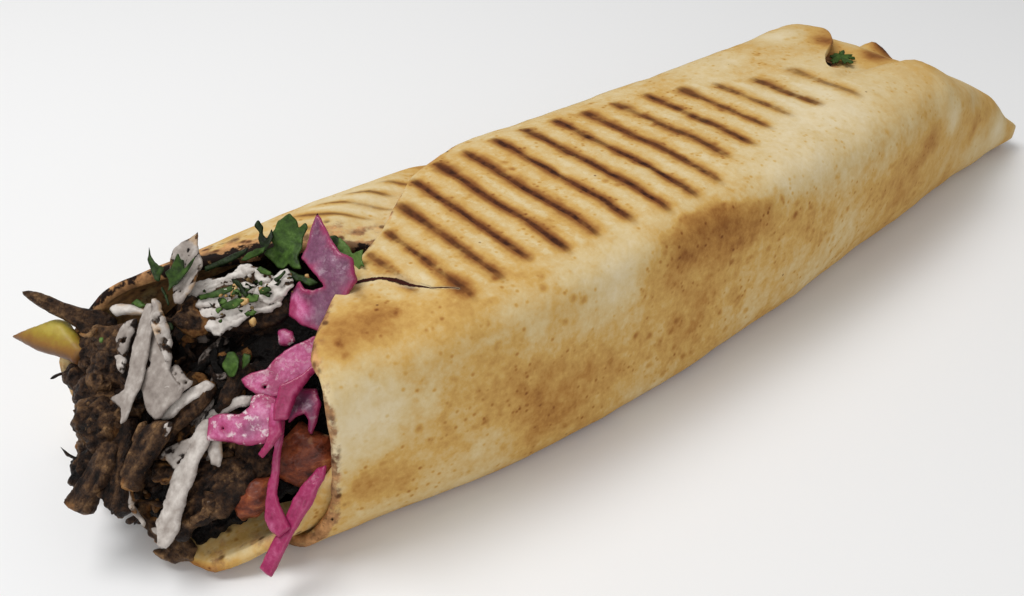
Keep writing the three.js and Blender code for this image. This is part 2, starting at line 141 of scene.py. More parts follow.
def skin(phi, x, inset):
    """Points at x and phi on the cross-section, set in from the outermost surface."""
    phi, x = np.broadcast_arrays(np.asarray(phi, float), np.asarray(x, float))
    c, s = np.cos(np.radians(phi)), np.sin(np.radians(phi))
    power = sum(value(x) * np.maximum(0, np.cos(np.radians(phi - at))) ** 2 for at, value in CORNERS)
    reach = (np.abs(c) ** power + np.abs(s) ** power) ** (-1 / power)
    half_width, half_height = (back_side(x) - front_side(x)) / 2, top_height(x) / 2
    z = half_height + (half_height - inset) * reach * s * np.where(s < 0, *PRESS)
    z = np.minimum(2 * half_height - inset, np.maximum(inset, z))
    low = np.maximum(0, 1 - z / half_height)
    foot = front_foot(x) * low ** 2 * np.clip(-3 * c, 0, 1)
    y = (back_side(x) + front_side(x)) / 2 + (half_width - inset) * reach * c + foot
    return np.stack([x, y, np.maximum(z + floor_rise(x) * low ** 2, 0)], -1)


def layer_inset(phi, x):
    """How far the sheet lies in from the outermost surface."""
    edge_above = np.where(phi < SEAM + TURN, mouth_edge(SEAM), mouth_edge(np.maximum(phi - TURN, SEAM)))
    covered = STEP_UNCOVERED + (1 - STEP_UNCOVERED) * ease(-16, -2, x - edge_above)
    dip = POCKET_DIP * band(*POCKET_ACROSS, phi) * band(*POCKET_ALONG, x)
    fold = FOLD_RISE * bell(x - FOLD_AT[0], FOLD_SPREAD[0]) * bell(phi - FOLD_AT[1], FOLD_SPREAD[1])
    return LAYER_STEP * ease(*SLIPS_UNDER, phi) * covered + dip - fold


def feather(phi, x):
    """How much the outer turn is thinned beside the front edge of the notch at the closed end."""
    return FEATHER_DEPTH * band(*FEATHER_ACROSS, phi) * (1 - ease(0, FEATHER, closed_edge(phi) - x))


# ---------------------------------------------------------------- noise
CELL_FACTORS = np.array([374761393, 668265263, 1274126177])  # large odd numbers that scatter the cells
SEED_FACTOR = 974634777
SCATTER = 1103515245
MASK = 0xFFFFFFFF


def gradient_noise(points, seed=0):
    """Smooth noise between about -1 and 1 at points, with features about one unit across."""
    base = np.floor(points).astype(np.int64)
    local = points - base
    blend = local ** 3 * (local * (local * 6 - 15) + 10)
    total = np.zeros(points.shape[:-1])
    for corner in np.ndindex(2, 2, 2):
        h = ((base + corner) @ CELL_FACTORS + (seed + 17) * SEED_FACTOR) & MASK
        h = ((h ^ (h >> 13)) * SCATTER) & MASK
        h = h ^ (h >> 16)
        angle = (h & 0xFFFF) / 65536 * 2 * np.pi
        height = ((h >> 8) & 0xFFFF) / 32768 - 1
        flat = np.sqrt(np.maximum(0, 1 - height ** 2))
        away = local - corner
        slope = (flat * np.cos(angle) * away[..., 0] + flat * np.sin(angle) * away[..., 1]
                 + height * away[..., 2])
        total += slope * np.prod(np.where(np.array(corner) == 1, blend, 1 - blend), axis=-1)
    return 1.6 * total


def fractal(points, size, octaves=3, seed=0):
    """Noise whose largest features are about size across, each octave half as large and as strong."""
    points = np.asarray(points) / size
    return sum(gradient_noise(points * 2 ** k, seed + 31 * k) / 2 ** k for k in range(octaves))


# ---------------------------------------------------------------- meshes
def put(points):
    """Roll coordinates in millimetres to the frame's metres."""
    return (np.asarray(points) - ORIGIN) * MM


def on_face(places):
    """Points [right, up, out] on the face of the filling to roll coordinates."""
    places = np.asarray(places, float)
    return MOUTH + places[..., :1] * RIGHT + places[..., 1:2] * UP + places[..., 2:3] * OUT


def lifted(points, lowest):
    """The points, none of them lower than a height."""
    points[..., 2] = np.maximum(points[..., 2], lowest)
    return points


class Meshes:
    """Gathers vertices, faces and per-vertex numbers of many closed forms into one mesh."""

    def __init__(self, *names):
        self.points, self.faces, self.count = [], [], 0
        self.numbers = {name: [] for name in names}

    def add(self, points, faces, **numbers):
        """Faces are rows of four vertices, the last of them -1 where a face is a triangle."""
        points, faces = np.asarray(points).reshape(-1, 3), np.asarray(faces)
        self.points.append(points)
        self.faces.append(np.where(faces < 0, -1, faces + self.count))
        self.count += len(points)
        for name, values in self.numbers.items():
            number = np.ravel(np.asarray(numbers.get(name, 0.0), float))
            values.append(np.broadcast_to(number, (len(points),)))

    def build(self, name, material, slot, replaces=()):
        mesh = bpy.data.meshes.new(name)
        mesh.from_pydata(put(np.concatenate(self.points)).tolist(), [],
                         [[k for k in face if k >= 0] for group in self.faces for face in group.tolist()])
        for label, values in self.numbers.items():
            attribute = mesh.attributes.new(label, "FLOAT", "POINT")
            attribute.data.foreach_set("value", np.concatenate(values).astype(np.float32))
        mesh.polygons.foreach_set("use_smooth", np.ones(len(mesh.polygons), bool))
        mesh.materials.append(material)
        mesh.update()
        piece = bpy.data.objects.new(name, mesh)
        bpy.context.scene.collection.objects.link(piece)
        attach(piece, "root")
        if replaces:
            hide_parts(*replaces)


def grid_faces(rows, columns, start=0, closed=False, flip=False):
    """Quads between a grid of rows by columns of vertices, wrapped round its columns if closed."""
    i, j = np.meshgrid(np.arange(rows - 1), np.arange(columns if closed else columns - 1), indexing="ij")
    k = (j + 1) % columns
    quads = np.stack([i * columns + j, (i + 1) * columns + j, (i + 1) * columns + k, i * columns + k], -1)
    quads = quads.reshape(-1, 4) + start
    return quads[:, ::-1] if flip else quads


def tube(rings):
    """Vertices and faces of a closed form over rings[i][k], with a vertex in the middle of each end."""
    rows, around = rings.shape[:2]
    points = np.concatenate([rings.reshape(-1, 3), rings[0].mean(0)[None], rings[-1].mean(0)[None]])
    first, last = np.full(around, rows * around), np.full(around, rows * around + 1)
    k, none = np.arange(around), np.full(around, -1)
    ahead = (k + 1) % around
    end = (rows - 1) * around
    caps = [np.stack([first, k, ahead, none], -1), np.stack([last, end + ahead, end + k, none], -1)]
    return points, np.concatenate([grid_faces(rows, around, closed=True), *caps])


def spline(points, t):
    """Points at t, from 0 to 1, on a smooth curve through points, and the unit tangents there."""
    knots = np.concatenate([[0], np.cumsum(np.linalg.norm(np.diff(points, axis=0), axis=1) ** 0.5)])
    knots /= knots[-1]
    slopes = np.gradient(points, knots, axis=0)

    def at(t):
        i = np.clip(np.searchsorted(knots, t, side="right") - 1, 0, len(points) - 2)
        step = (knots[i + 1] - knots[i])[:, None]
        u = ((t - knots[i])[:, None]) / step
        w = 1 - u
        return (points[i] * (1 + 2 * u) * w * w + points[i + 1] * (1 + 2 * w) * u * u
                + step * (slopes[i] * u * w * w - slopes[i + 1] * u * u * w))
    small = 1e-3
    along = at(np.clip(t + small, 0, 1)) - at(np.clip(t - small, 0, 1))
    return at(t), along / np.linalg.norm(along, axis=1)[:, None]


def turned(vectors, axes, degrees):
    """Vectors turned about their unit axes."""
    a = np.radians(degrees)
    return (vectors * np.cos(a) + np.cross(axes, vectors) * np.sin(a)
            + axes * np.sum(axes * vectors, -1, keepdims=True) * (1 - np.cos(a)))


# ---------------------------------------------------------------- materials
def srgb(red, green, blue):
    """A colour given in display values, from 0 to 255, as the shaders' linear colour."""
    return tuple(((v / 255 + 0.055) / 1.055) ** 2.4 if v > 10 else v / 255 / 12.92
                 for v in (red, green, blue))


class Look:
    """A node material, built by short calls that each return a socket. Lengths are in millimetres."""

    def __init__(self, name, **settings):
        self.material = bpy.data.materials.new(name)
        self.material.use_nodes = True
        self.nodes, self.links = self.material.node_tree.nodes, self.material.node_tree.links
        self.shader = self.nodes["Principled BSDF"]
        for socket, value in settings.items():
            self.shader.inputs[socket.replace("_", " ")].default_value = value

    def node(self, kind, out=0, inputs=(), **properties):
        node = self.nodes.new("ShaderNode" + kind)
        for name, value in properties.items():
            setattr(node, name, value)
        for socket, value in dict(inputs).items():
            self.feed(node.inputs[socket], value)
        return node.outputs[out]

    def feed(self, socket, value):
        if isinstance(value, bpy.types.NodeSocket):
            self.links.new(value, socket)
        elif value is not None:
            color = isinstance(value, tuple) and len(value) == 3 and socket.type == "RGBA"
            socket.default_value = (*value, 1.0) if color else value

    def number(self, name):
        """A per-vertex number of the mesh."""
        return self.node("Attribute", out="Fac", attribute_name=name)

    def place(self):
        return self.node("TexCoord", out="Object")

    def coordinate(self, axis):
        return self.node("SeparateXYZ", out=axis, inputs={"Vector": self.place()})

    def noise(self, size, detail=3.0, roughness=0.55, stretch=None):
        vector = self.place()
        if stretch:
            vector = self.node("Mapping", inputs={"Vector": vector, "Scale": stretch})
        return self.node("TexNoise", inputs={"Vector": vector, "Scale": 1 / (size * MM), "Detail": detail,
                                             "Roughness": roughness})

    def math(self, operation, a, b=None, clamp=False):
        inputs = {0: a} if b is None else {0: a, 1: b}
        return self.node("Math", inputs=inputs, operation=operation, use_clamp=clamp)

    def vector(self, operation, a, b, out=0):
        return self.node("VectorMath", out=out, inputs={0: a, 1: b}, operation=operation)

    def times(self, *values):
        """The product of several values."""
        result = values[0]
        for value in values[1:]:
            result = self.math("MULTIPLY", result, value)
        return result

    def total(self, *values):
        """The sum of several values."""
        result = values[0]
        for value in values[1:]:
            result = self.math("ADD", result, value)
        return result

    def share(self, *values):
        """The product of several values, held between 0 and 1."""
        return self.math("MULTIPLY", self.times(*values[:-1]), values[-1], clamp=True)

    def about(self, noise, amount):
        """A noise swung evenly about zero."""
        return self.times(self.math("SUBTRACT", noise, 0.5), amount)

    def sway(self, size, detail, roughness, amount):
        """A noise of its own, swung evenly about zero."""
        return self.about(self.noise(size, detail, roughness), amount)

    def patches(self, low, high, size, detail, roughness):
        """1 in the patches where a noise of its own is above high, and 0 where it is below low."""
        return self.step(low, high, self.noise(size, detail, roughness))

    def speckles(self, pitch, radius, soft):
        """Round spots strewn about a pitch apart."""
        cells = self.node("TexVoronoi", out="Distance", inputs={
            "Vector": self.place(), "Scale": 1 / (pitch * MM), "Randomness": 1.0})
        return self.step((radius + soft) / pitch, max(0.001, (radius - soft)) / pitch, cells)

    def near_line(self, rows):
        """How many half widths away a path is, seen from above. Its rows are x, y and half width."""
        flat = self.vector("MULTIPLY", self.place(), (1.0, 1.0, 0.0))
        nearest = None
        for (*from_xy, wide), (*to_xy, narrow) in zip(rows, rows[1:]):
            start, end = (Vector((*put((*xy, 0))[:2], 0)) for xy in (from_xy, to_xy))
            along = end - start
            offset = self.vector("SUBTRACT", flat, tuple(start))
            share = self.vector("DOT_PRODUCT", offset, tuple(along / along.length_squared), out="Value")
            share = self.math("MAXIMUM", self.math("MINIMUM", share, 1.0), 0.0)
            foot = self.node("VectorMath", inputs={0: tuple(along), "Scale": share}, operation="SCALE")
            across = self.vector("SUBTRACT", offset, foot)
            away = self.node("VectorMath", out="Value", inputs={0: across}, operation="LENGTH")
            half = self.total(wide * MM, self.times(share, (narrow - wide) * MM))
            ratio = self.math("DIVIDE", away, half)
            nearest = ratio if nearest is None else self.math("MINIMUM", nearest, ratio)
        return nearest

    def step(self, low, high, value, to=(0.0, 1.0)):
        """0 below low to 1 above high, smoothly, or the two values of to."""
        return self.node("MapRange", inputs={"Value": value, "From Min": low, "From Max": high,
                                             "To Min": to[0], "To Max": to[1]},
                         interpolation_type="SMOOTHSTEP")

    def mix(self, share, a, b):
        """From colour a to colour b, each a socket or three display values."""
        node = self.nodes.new("ShaderNodeMix")
        node.data_type = "RGBA"
        self.feed(node.inputs["Factor"], share)
        for socket, color in ((6, a), (7, b)):
            self.feed(node.inputs[socket], srgb(*color) if isinstance(color, tuple) else color)
        return node.outputs[2]

    def ramp(self, value, *stops):
        """Colours between stops, each a value and three display values."""
        node = self.nodes.new("ShaderNodeValToRGB")
        elements = node.color_ramp.elements
        for _ in stops[2:]:
            elements.new(0.5)
        for element, (at, *display) in zip(elements, stops):
            element.position, element.color = at, (*srgb(*display), 1.0)
        self.feed(node.inputs["Fac"], value)
        return node.outputs["Color"]

    def bump(self, height, distance, strength=1.0, normal=None):
        return self.node("Bump", inputs={"Height": height, "Distance": distance * MM, "Strength": strength,
                                         **({"Normal": normal} if normal else {})})

    def finish(self, color, roughness=None, normal=None):
        self.feed(self.shader.inputs["Base Color"], color)
        self.feed(self.shader.inputs["Roughness"], roughness)
        self.feed(self.shader.inputs["Normal"], normal)
        return self.material


# ---------------------------------------------------------------- the flatbread
# Each grill mark across the top: its x, the y of its back and front ends, and how dark it is.
GRILL_MARKS = [
    (21.5, 13, 5, 0.3), (29.5, 17, 1.5, 0.75), (36, 21, -4.6, 0.9), (43.5, 28, -3.6, 0.85),
    (51.2, 33.8, -2, 0.95), (59, 36.8, -4, 1.0), (66.8, 37.5, -3.4, 1.0), (75.1, 38, -4, 0.92),
    (83.4, 38.6, -5.2, 0.92), (91.6, 37.9, -4.8, 0.95), (99.4, 37, -4.4, 0.8), (108, 36, 1.5, 0.72),
    (116.5, 34.6, 2, 0.8), (125, 32, 4.6, 0.66), (133.5, 28.2, 6, 0.62), (143, 24.9, 4.8, 0.7),
    (154.5, 23.2, 2.4, 0.42), (164, 20, 8, 0.0),
]
MARK_PITCH = 8.3  # how marks are counted past the first and the last
# The paler marks that cross the inner turn beside the mouth: their slant, and across it their pitch and
# the place of the first.
INNER_MARK_SLANT = math.radians(37.0)
INNER_MARK_PITCH = 4.8
INNER_MARK_FROM = 46.2
# The tear in the flap: x, y and half its width along it.
TEAR = [
    (21.8, 11.3, 0.35), (24.6, 10.2, 0.45), (27.1, 8.8, 0.35), (28.9, 6.4, 0.55), (30.1, 3.8, 0.3),
    (31.7, 1.1, 0.14), (33.1, 0.1, 0.14), (35.4, -1.8, 0.1),
]
# Browned places: x, y and z of the middle, spread, and how much browner, or paler if negative.
BROWNINGS = [
    (12, 1, 41, 5.5, 0.28), (17, -2, 41, 5, 0.14), (22, 0, 41, 5, 0.28), (25, -6, 38, 7, 0.12),
    (22, 8, 41, 2.5, -0.2), (3, 6, 41, 5, -0.12), (4, -6, 34, 9, -0.16), (12, -9, 28, 9, -0.12),
    (2, -6, 18, 8, -0.10), (22, -9, 30, 7, -0.02), (33, -5, 40, 4, 0.2), (35, 1, 41, 3, 0.15),
    (36.5, -1, 41, 3, 0.2), (10, -9, 15, 4.5, 0.22), (17, -10, 14, 5, 0.2), (40, -12, 24, 13, 0.14),
    (54, -12, 16, 12, 0.12), (50, -11, 33, 9, -0.05), (64, -9, 37, 8, -0.22), (36, -10, 12, 6, -0.08),
    (92, -12, 33, 8, 0.12), (102, -12, 32, 7, 0.10), (79, -12, 30, 7, 0.12), (84, -12, 18, 8, 0.05),
    (118, -11, 28, 11, 0.09), (128, -11, 26, 9, 0.08), (112, -8, 39, 9, -0.18), (128, -4, 41, 12, -0.19),
    (146, 4, 41, 12, -0.20), (112, -12, 14, 12, -0.12), (135, -11, 14, 12, -0.14), (150, -8, 26, 8, 0.08),
    (160, 22, 40, 6, -0.1), (170, 40, 40, 6, -0.22), (174, 34, 40, 5, -0.1), (182, 12, 38, 5, 0.06),
    (207, 29.5, 30.5, 3.5, 0.5), (203, 27.5, 31.5, 6.0, 0.3), (208, 30.5, 29.5, 1.8, 0.5),
    (189, 20.5, 37, 4.6, 0.5), (177.5, 29.5, 39.5, 5.0, 0.5), (184, 33, 39, 4.5, 0.16),
    (173, -7, 26.8, 7, 0.24), (163, -8.5, 20, 8, 0.12), (203.5, -3, 20, 5, 0.2), (213, 14, 22, 5, -0.14),
    (187.5, -5, 27, 3.5, -0.16), (184, -3, 33, 5, -0.12), (226, 0, 11.5, 6, -0.3), (222, 18, 15, 5, 0.12),
    (234, 14, 9, 6, -0.25), (210, 0, 10, 12, -0.1), (96, 34, 41, 9, 0.05), (122, 32, 41, 6, 0.08),
    (146, 36, 40, 7, -0.12), (60, 40, 40, 7, 0.08), (40, 38, 38, 9, -0.22),
]
RIDGE = curve([(64, 143), (86, 133.3), (94, 134.5), (104, 139), (120, 143)])  # phi of the front's upper ridge
ROWS_PER_TURN = (150, 125)  # of the fine sheet, on its first and second turn
ROWS_EQUAL_AT = 90.0  # x where the rows are equally far apart
COLUMNS = [(70, 58), (158, 46), (None, 54)]  # x up to which the sheet has so many steps
GROOVE = 0.22  # depth of a grill mark
RIM = 0.45  # how far the sheet's cut edge bulges


def sheet_angles():
    """Angles that part a middle cross-section into equal lengths, from the seam on, for both turns."""
    fine = np.linspace(SEAM, SEAM + TURN, 3601)
    outline = skin(fine, ROWS_EQUAL_AT, 0.0)
    lengths = np.concatenate([[0], np.cumsum(np.linalg.norm(np.diff(outline, axis=0), axis=1))])
    turns = [np.interp(np.linspace(0, lengths[-1], count, endpoint=False), lengths, fine)
             for count in ROWS_PER_TURN]
    angles = np.concatenate([turns[0], turns[1] + TURN])
    return angles[angles <= SHEET_END]


def sheet_grid():
    """x and phi of the sheet's vertices, in rows from its wavy mouth edge to its wavy closed edge."""
    angles = sheet_angles()
    rows = []
    for phi in angles:
        spot = np.array([[phi * 0.5, 0.0, 5.0]])
        wave = 0.6 * fractal(spot, 9, 3)[0] + 0.5 * ease(560, 610, phi) * fractal(spot, 2.5, 2, 4)[0]
        xs = [mouth_edge(phi) + wave]
        for until, steps in COLUMNS:
            to = closed_edge(phi) + 0.8 * wave if until is None else until
            xs.extend(xs[-1] + (to - xs[-1]) * np.arange(1, steps + 1) / steps)
        rows.append(xs)
    x = np.array(rows, float)
    return x, np.broadcast_to(angles[:, None], x.shape)


def mark_numbers(points):
    """Per point, its place counted in grill marks along the roll, how dark the nearest mark is there, and
    how near its thick back end is."""
    xs, backs, fronts, darks = (np.array(column, float) for column in zip(*GRILL_MARKS))
    last = len(xs) - 1
    x, y = points[..., 0], points[..., 1]
    # Each mark bends a little towards the mouth at its front end.
    bent = x + 0.9 * ease(10, -6, y) * ease(40, 60, x) + 0.35 * fractal(points * [0.3, 1, 0], 16, 2, 90)
    number = np.interp(bent, xs, np.arange(len(xs)))
    number += (np.minimum(0, bent - xs[0]) + np.maximum(0, bent - xs[-1])) / MARK_PITCH
    nearest = np.clip(np.round(number), 0, last).astype(int)
    reach = ease(-1.2, 1.6, backs[nearest] - y) * ease(-1.6, 3, y - fronts[nearest])
    reach *= band(-0.6, -0.4, last + 0.4, last + 0.6, number)
    # Near the mouth, where the plate hardly touched, they are blotchy.
    blotches = 0.3 + 0.7 * ease(-0.35, 0.2, fractal(points * [1, 1, 0], 7, 3, 44))
    reach *= 1 - (1 - blotches) * (1 - ease(34, 50, x))
    head = bell(backs[nearest] - 2.5 - y, 3.2) * (0.6 + 0.4 * np.cos(nearest * 2.4))
    return number, reach * darks[nearest], np.clip(head, 0, 1)


def sheet_relief(plain, x, number, dark):
    """How far the sheet stands out: low blisters, grill grooves, and creases towards the pinched end."""
    in_mark = np.clip(1 - 4 * np.abs(number - np.round(number)), 0, 1)
    relief = 0.42 * fractal(plain, 30, 2, 3) + 0.16 * fractal(plain, 7, 2, 5) - GROOVE * in_mark * dark
    creases = 0.5 * band(160, 200, 232, 240, x) * fractal(plain * [0.35, 1, 1], 9, 2, 11)
    return relief * ease(0, 4, plain[..., 2]) + creases * ease(0, 6, plain[..., 2])


def border_of(shape):
    """Numbers of a grid's outermost vertices, all the way round."""
    index = np.arange(shape[0] * shape[1]).reshape(shape)
    return np.concatenate([index[0, :-1], index[:-1, -1], index[-1, :0:-1], index[:0:-1, 0]])


def sheet_rim(middle, border):
    """A vertex row round the sheet's middle surface, pushed outwards, so that the cut edge is round."""
    outwards = np.zeros(middle.shape)
    for end, next_in in ((0, 1), (-1, -2)):
        outwards[:, end] += middle[:, end] - middle[:, next_in]
        outwards[end, :] += middle[end, :] - middle[next_in, :]
    push = outwards.reshape(-1, 3)[border]
    push /= np.linalg.norm(push, axis=1)[:, None]
    return lifted(middle.reshape(-1, 3)[border] + RIM * push, 0.1)


def sheet_faces(shape, border):
    """Faces of the sheet's outer and inner side, and of the round edge that joins them."""
    n = shape[0] * shape[1]
    edge = 2 * n + np.arange(len(border))
    ahead, edge_ahead = np.roll(border, -1), np.roll(edge, -1)
    return np.concatenate([
        grid_faces(*shape, flip=True), grid_faces(*shape, start=n),
        np.stack([border, ahead, edge_ahead, edge], -1)[:, ::-1],
        np.stack([edge, edge_ahead, n + ahead, n + border], -1)[:, ::-1]])


def flatbread():
    x, phi = sheet_grid()
    plain = skin(phi, x, 0.0)
    number, dark, head = mark_numbers(plain)
    dark = dark * ease(-2.0, -0.5, plain[..., 2] - top_height(x))
    depth = layer_inset(phi, x) - sheet_relief(plain, x, number, dark)
    outer = skin(phi, x, depth + feather(phi, x))
    inner = skin(phi, x, depth + BREAD)
    border = border_of(x.shape)
    rim = sheet_rim((outer + inner) / 2, border)

    def on_sheet(outer_side, inner_side, at_rim=None):
        """A number's values on the outer side, the inner side and the rim."""
        at_rim = outer_side if at_rim is None else at_rim
        return np.concatenate([outer_side.ravel(), inner_side.ravel(), at_rim.ravel()[border]])

    first = phi < SEAM + TURN
    inner_number, inner_dark = slanting_marks(plain)
    number = np.where(first, number, inner_number)
    marks = np.where(first, np.maximum(dark, under_marks(plain)), inner_dark)
    unmarked = np.zeros(x.shape)
    toast = toasting(plain, phi, x)
    # Burnt places, and a painted shadow in the notch at the closed end.
    scorch, outer_scorch = scorching(phi, x), outer_scorching(phi, x)
    bread = Meshes("mark_number", "mark_dark", "mark_head", "toast", "scorch")
    bread.add(np.concatenate([outer.reshape(-1, 3), inner.reshape(-1, 3), rim]), sheet_faces(x.shape, border),
              mark_number=on_sheet(number, number),
              mark_dark=on_sheet(marks, unmarked),
              mark_head=on_sheet(head * first, unmarked),
              # The inner side is paler than the outer: partly its own paler colour and partly painted light
              # for the shade inside the roll, most on the lip past phi 540.
              toast=on_sheet(toast, np.where(phi > 540, 0.16, 0.24) + 0.3 * toast),
              scorch=on_sheet(outer_scorch, scorch, np.maximum(outer_scorch, scorch)))
    bread.build("rolled_flatbread", flatbread_material(), "flatbread", ["flatbread"])


def toasting(plain, phi, x):
    """How browned the bread is, from 0 to 1, with a painted shade just under the front ridge."""
    z = plain[..., 2]
    toast = 0.34 + 0.08 * fractal(plain, 26, 3, 21)
    for *place, spread, strength in BROWNINGS:
        toast += strength * bell(np.linalg.norm(plain - place, axis=-1), spread)
    toast += 0.10 * (1 - ease(18, 36, z)) * ease(20, 50, x)
    # Just under the ridge along the front the bread is darker, with a sharp upper edge: partly browning and
    # partly a painted shade that sharpens the ridge.
    toast += 0.24 * band(-1.0, 1.5, 8, 26, phi - RIDGE(x)) * band(72, 86, 100, 120, x)
    # The underside is brown from the lower plate.
    toast += 0.42 * (1 - ease(0.3, 2.6, z))
    return np.clip(toast, 0.1, 1)


def scorching(phi, x):
    """Burnt places on the inside: the curled wall at the back of the mouth and the edges round the mouth; and
    a painted shadow in the notch, where the outer turn lies over the next one."""
    edge = x - mouth_edge(phi)
    back_wall = 0.44 * bell(edge, 40) * band(312, 332, 420, 434, phi)
    top_wall = 0.75 * bell(edge, 3.5) * band(412, 420, 452, 466, phi)
    flap = 0.5 * bell(edge, 1.0) * band(50, 60, 250, 262, phi)
    lip = 0.16 * bell(edge, 14) * band(570, 580, 600, 612, phi)
    # A painted shadow under the outer turn's edge in the notch, where the next turn lies below it.
    notch = 1.1 * bell(x - 174.5, 3.6) * bell(phi - 442, 5)
    return np.clip(back_wall + top_wall + flap + lip + notch, 0, 1)


def outer_scorching(phi, x):
    """Burnt places on the outside, along the sheet's edge round the mouth and through from the inside, which
    also brings the notch's painted shadow onto the next turn's outer side.
    """
    edge = x - mouth_edge(phi)
    flap = 0.25 * bell(edge, 0.8) * (1 - ease(255, 262, phi))
    lower = 0.62 * bell(edge, 1.3) * band(196, 208, 258, 268, phi)
    lip = 0.6 * bell(edge, 1.8) * ease(600, 612, phi)
    crown = 0.9 * bell(edge, 11) * band(356, 384, 428, 444, phi)
    through = scorching(phi, x) * ease(350, 386, phi) * np.maximum(bell(edge, 14), ease(60, 100, edge))
    return np.clip(np.max([flap, lower, lip, crown, through], axis=0), 0, 1)


def slanting_marks(plain):
    """Each point's place counted in the inner turn's slanting marks, and how dark the nearest is there."""
    x, y, z = np.moveaxis(plain, -1, 0)
    across = x * math.sin(INNER_MARK_SLANT) + y * math.cos(INNER_MARK_SLANT)
    dark = 0.5 * band(20, 27, 60, 66, x) * band(29, 32, 38.5, 41, y) * ease(30, 38, z)
    broken = ease(-0.25, 0.25, fractal(plain * [0.5, 1, 1], 7, 2, 31))
    return (across - INNER_MARK_FROM) / INNER_MARK_PITCH, dark * broken


def under_marks(plain):
    """How dark the marks of the lower plate are on the underside."""
    x, y, z = np.moveaxis(plain, -1, 0)
    return 0.8 * (1 - ease(0.3, 1.2, z)) * band(2, 8, 36, 42, y) * band(30, 42, 150, 162, x)


def browned_bread(look, side, blotches, mottle, grain):
    """How brown the bread is: blotchy and freckled, crisply so near the mouth."""
    crisp = look.step(20 * MM, 80 * MM, look.coordinate("X"), (1.0, 0.45))
    streaks = look.noise(2.6, 3, 0.65, stretch=(1.3, 1.0, 0.7))
    fine = look.total(look.about(mottle, 0.40), look.about(grain, 0.22),
                      look.times(side, look.about(streaks, 0.22)))
    freckles = look.times(look.speckles(3.4, 0.8, 0.7), look.patches(0.48, 0.66, 7, 3, 0.6), crisp, 0.26)
    dots = look.times(look.speckles(1.7, 0.34, 0.26), look.patches(0.46, 0.60, 6, 3, 0.6), crisp, 0.24)
    return look.total(look.number("toast"), look.about(blotches, 0.46), look.times(fine, crisp),
                      freckles, dots)


def grill_marks(look, dark):
    """How far off the nearest mark's middle is, in marks, and how strongly its dark core, the warm brown
    beside it and its wide halo show."""
    number = look.total(look.number("mark_number"), look.sway(5, 3, 0.6, 0.10))
    off = look.math("ABSOLUTE", look.math("SUBTRACT", number, look.math("ROUND", number)))
    off = look.math("ABSOLUTE", look.total(off, look.sway(1.1, 4, 0.7, 0.05)))
    width = look.total(0.078, look.times(look.number("mark_head"), 0.06), look.sway(7, 2, 0.5, 0.09))
    widths_off = look.math("DIVIDE", off, width)
    strength = look.share(dark, look.step(0.32, 0.54, look.noise(6.5, 3, 0.6), (0.5, 1.1)))
    core = look.times(look.step(1.35, 0.45, widths_off), strength)
    warm = look.times(look.step(3.0, 0.7, widths_off), strength)
    halo = look.times(look.step(0.28, 0.05, off), strength)
    return off, core, warm, halo


def scorched(look, color, mottle):
    """The colour with burnt places over it: brown, black in their middle, and dotted. The same brown and
    black paint the shadow in the notch.
    """
    scorch = look.number("scorch")
    burnt = look.total(scorch, look.sway(4.2, 4, 0.65, 2.4))
    brown = look.times(look.step(0.08, 0.48, burnt), look.step(0.02, 0.2, scorch), 0.9)
    color = look.mix(brown, color, look.ramp(mottle, (0.36, 104, 68, 46), (0.50, 160, 114, 76),
                                             (0.64, 210, 158, 106)))
    black = look.times(look.step(0.72, 0.92, burnt), look.step(0.05, 0.3, scorch))
    color = look.mix(black, color, (26, 13, 8))
    spots = look.times(look.speckles(3.4, 0.6, 0.3), look.step(0.04, 0.12, scorch), 0.8)
    return look.mix(spots, color, (70, 36, 20))


def flatbread_material():
    look = Look("bread", Roughness=0.75, Specular_IOR_Level=0.12)
    side = look.step(37 * MM, 31 * MM, look.coordinate("Z"))
    blotches, mottle, grain = look.noise(9, 5, 0.6), look.noise(3.2, 4, 0.6), look.noise(1.1, 3, 0.6)
    dark = look.number("mark_dark")
    off, core, warm, halo = grill_marks(look, dark)
    # Between the marks the bread is golden, with paler places midway.
    marked = look.step(0.0, 0.5, dark)
    golden = look.times(look.step(0.5, 0.18, off), marked, 0.12)
    midway = look.times(look.step(0.28, 0.46, off), look.step(0.48, 0.60, mottle), marked, -0.16)
    browned = look.total(browned_bread(look, side, blotches, mottle, grain), golden, midway,
                         look.times(halo, 0.34))
    color = look.ramp(browned, (0.06, 222, 205, 168), (0.28, 212, 187, 136), (0.45, 202, 162, 92),
                      (0.62, 178, 130, 67), (0.79, 144, 93, 44), (0.98, 84, 46, 22))
    specks = look.times(look.speckles(9, 0.28, 0.12), look.patches(0.5, 0.56, 14, 2, 0.5), 0.75)
    color = look.mix(specks, color, (88, 44, 24))
    color = look.mix(look.share(warm, 0.8), color, (132, 82, 40))
    char = look.ramp(look.noise(2.4, 3, 0.6), (0.36, 46, 20, 14), (0.64, 96, 52, 28))
    color = look.mix(look.share(core, 0.96), color, char)
    color = scorched(look, color, mottle)

    tear = look.total(look.near_line(TEAR), look.sway(1.2, 4, 0.7, 2.2))
    above = look.math("SUBTRACT", 1.0, side)
    torn_rim = look.times(look.step(4.5, 1.2, tear), above)
    gap = look.times(look.step(1.3, 0.75, tear), above)
    color = look.mix(look.times(torn_rim, 0.4), color, (226, 206, 166))
    color = look.mix(gap, color, (52, 14, 8))

    height = look.total(look.times(grain, 0.25), look.times(mottle, 0.9), look.times(blotches, 1.2))
    normal = look.bump(height, 0.30, 0.6)
    normal = look.bump(core, -0.25, 0.5, normal)
    lips = look.math("SUBTRACT", look.times(torn_rim, 0.5), look.times(gap, 1.5))
    return look.finish(color, normal=look.bump(lips, 0.7, 0.8, normal))


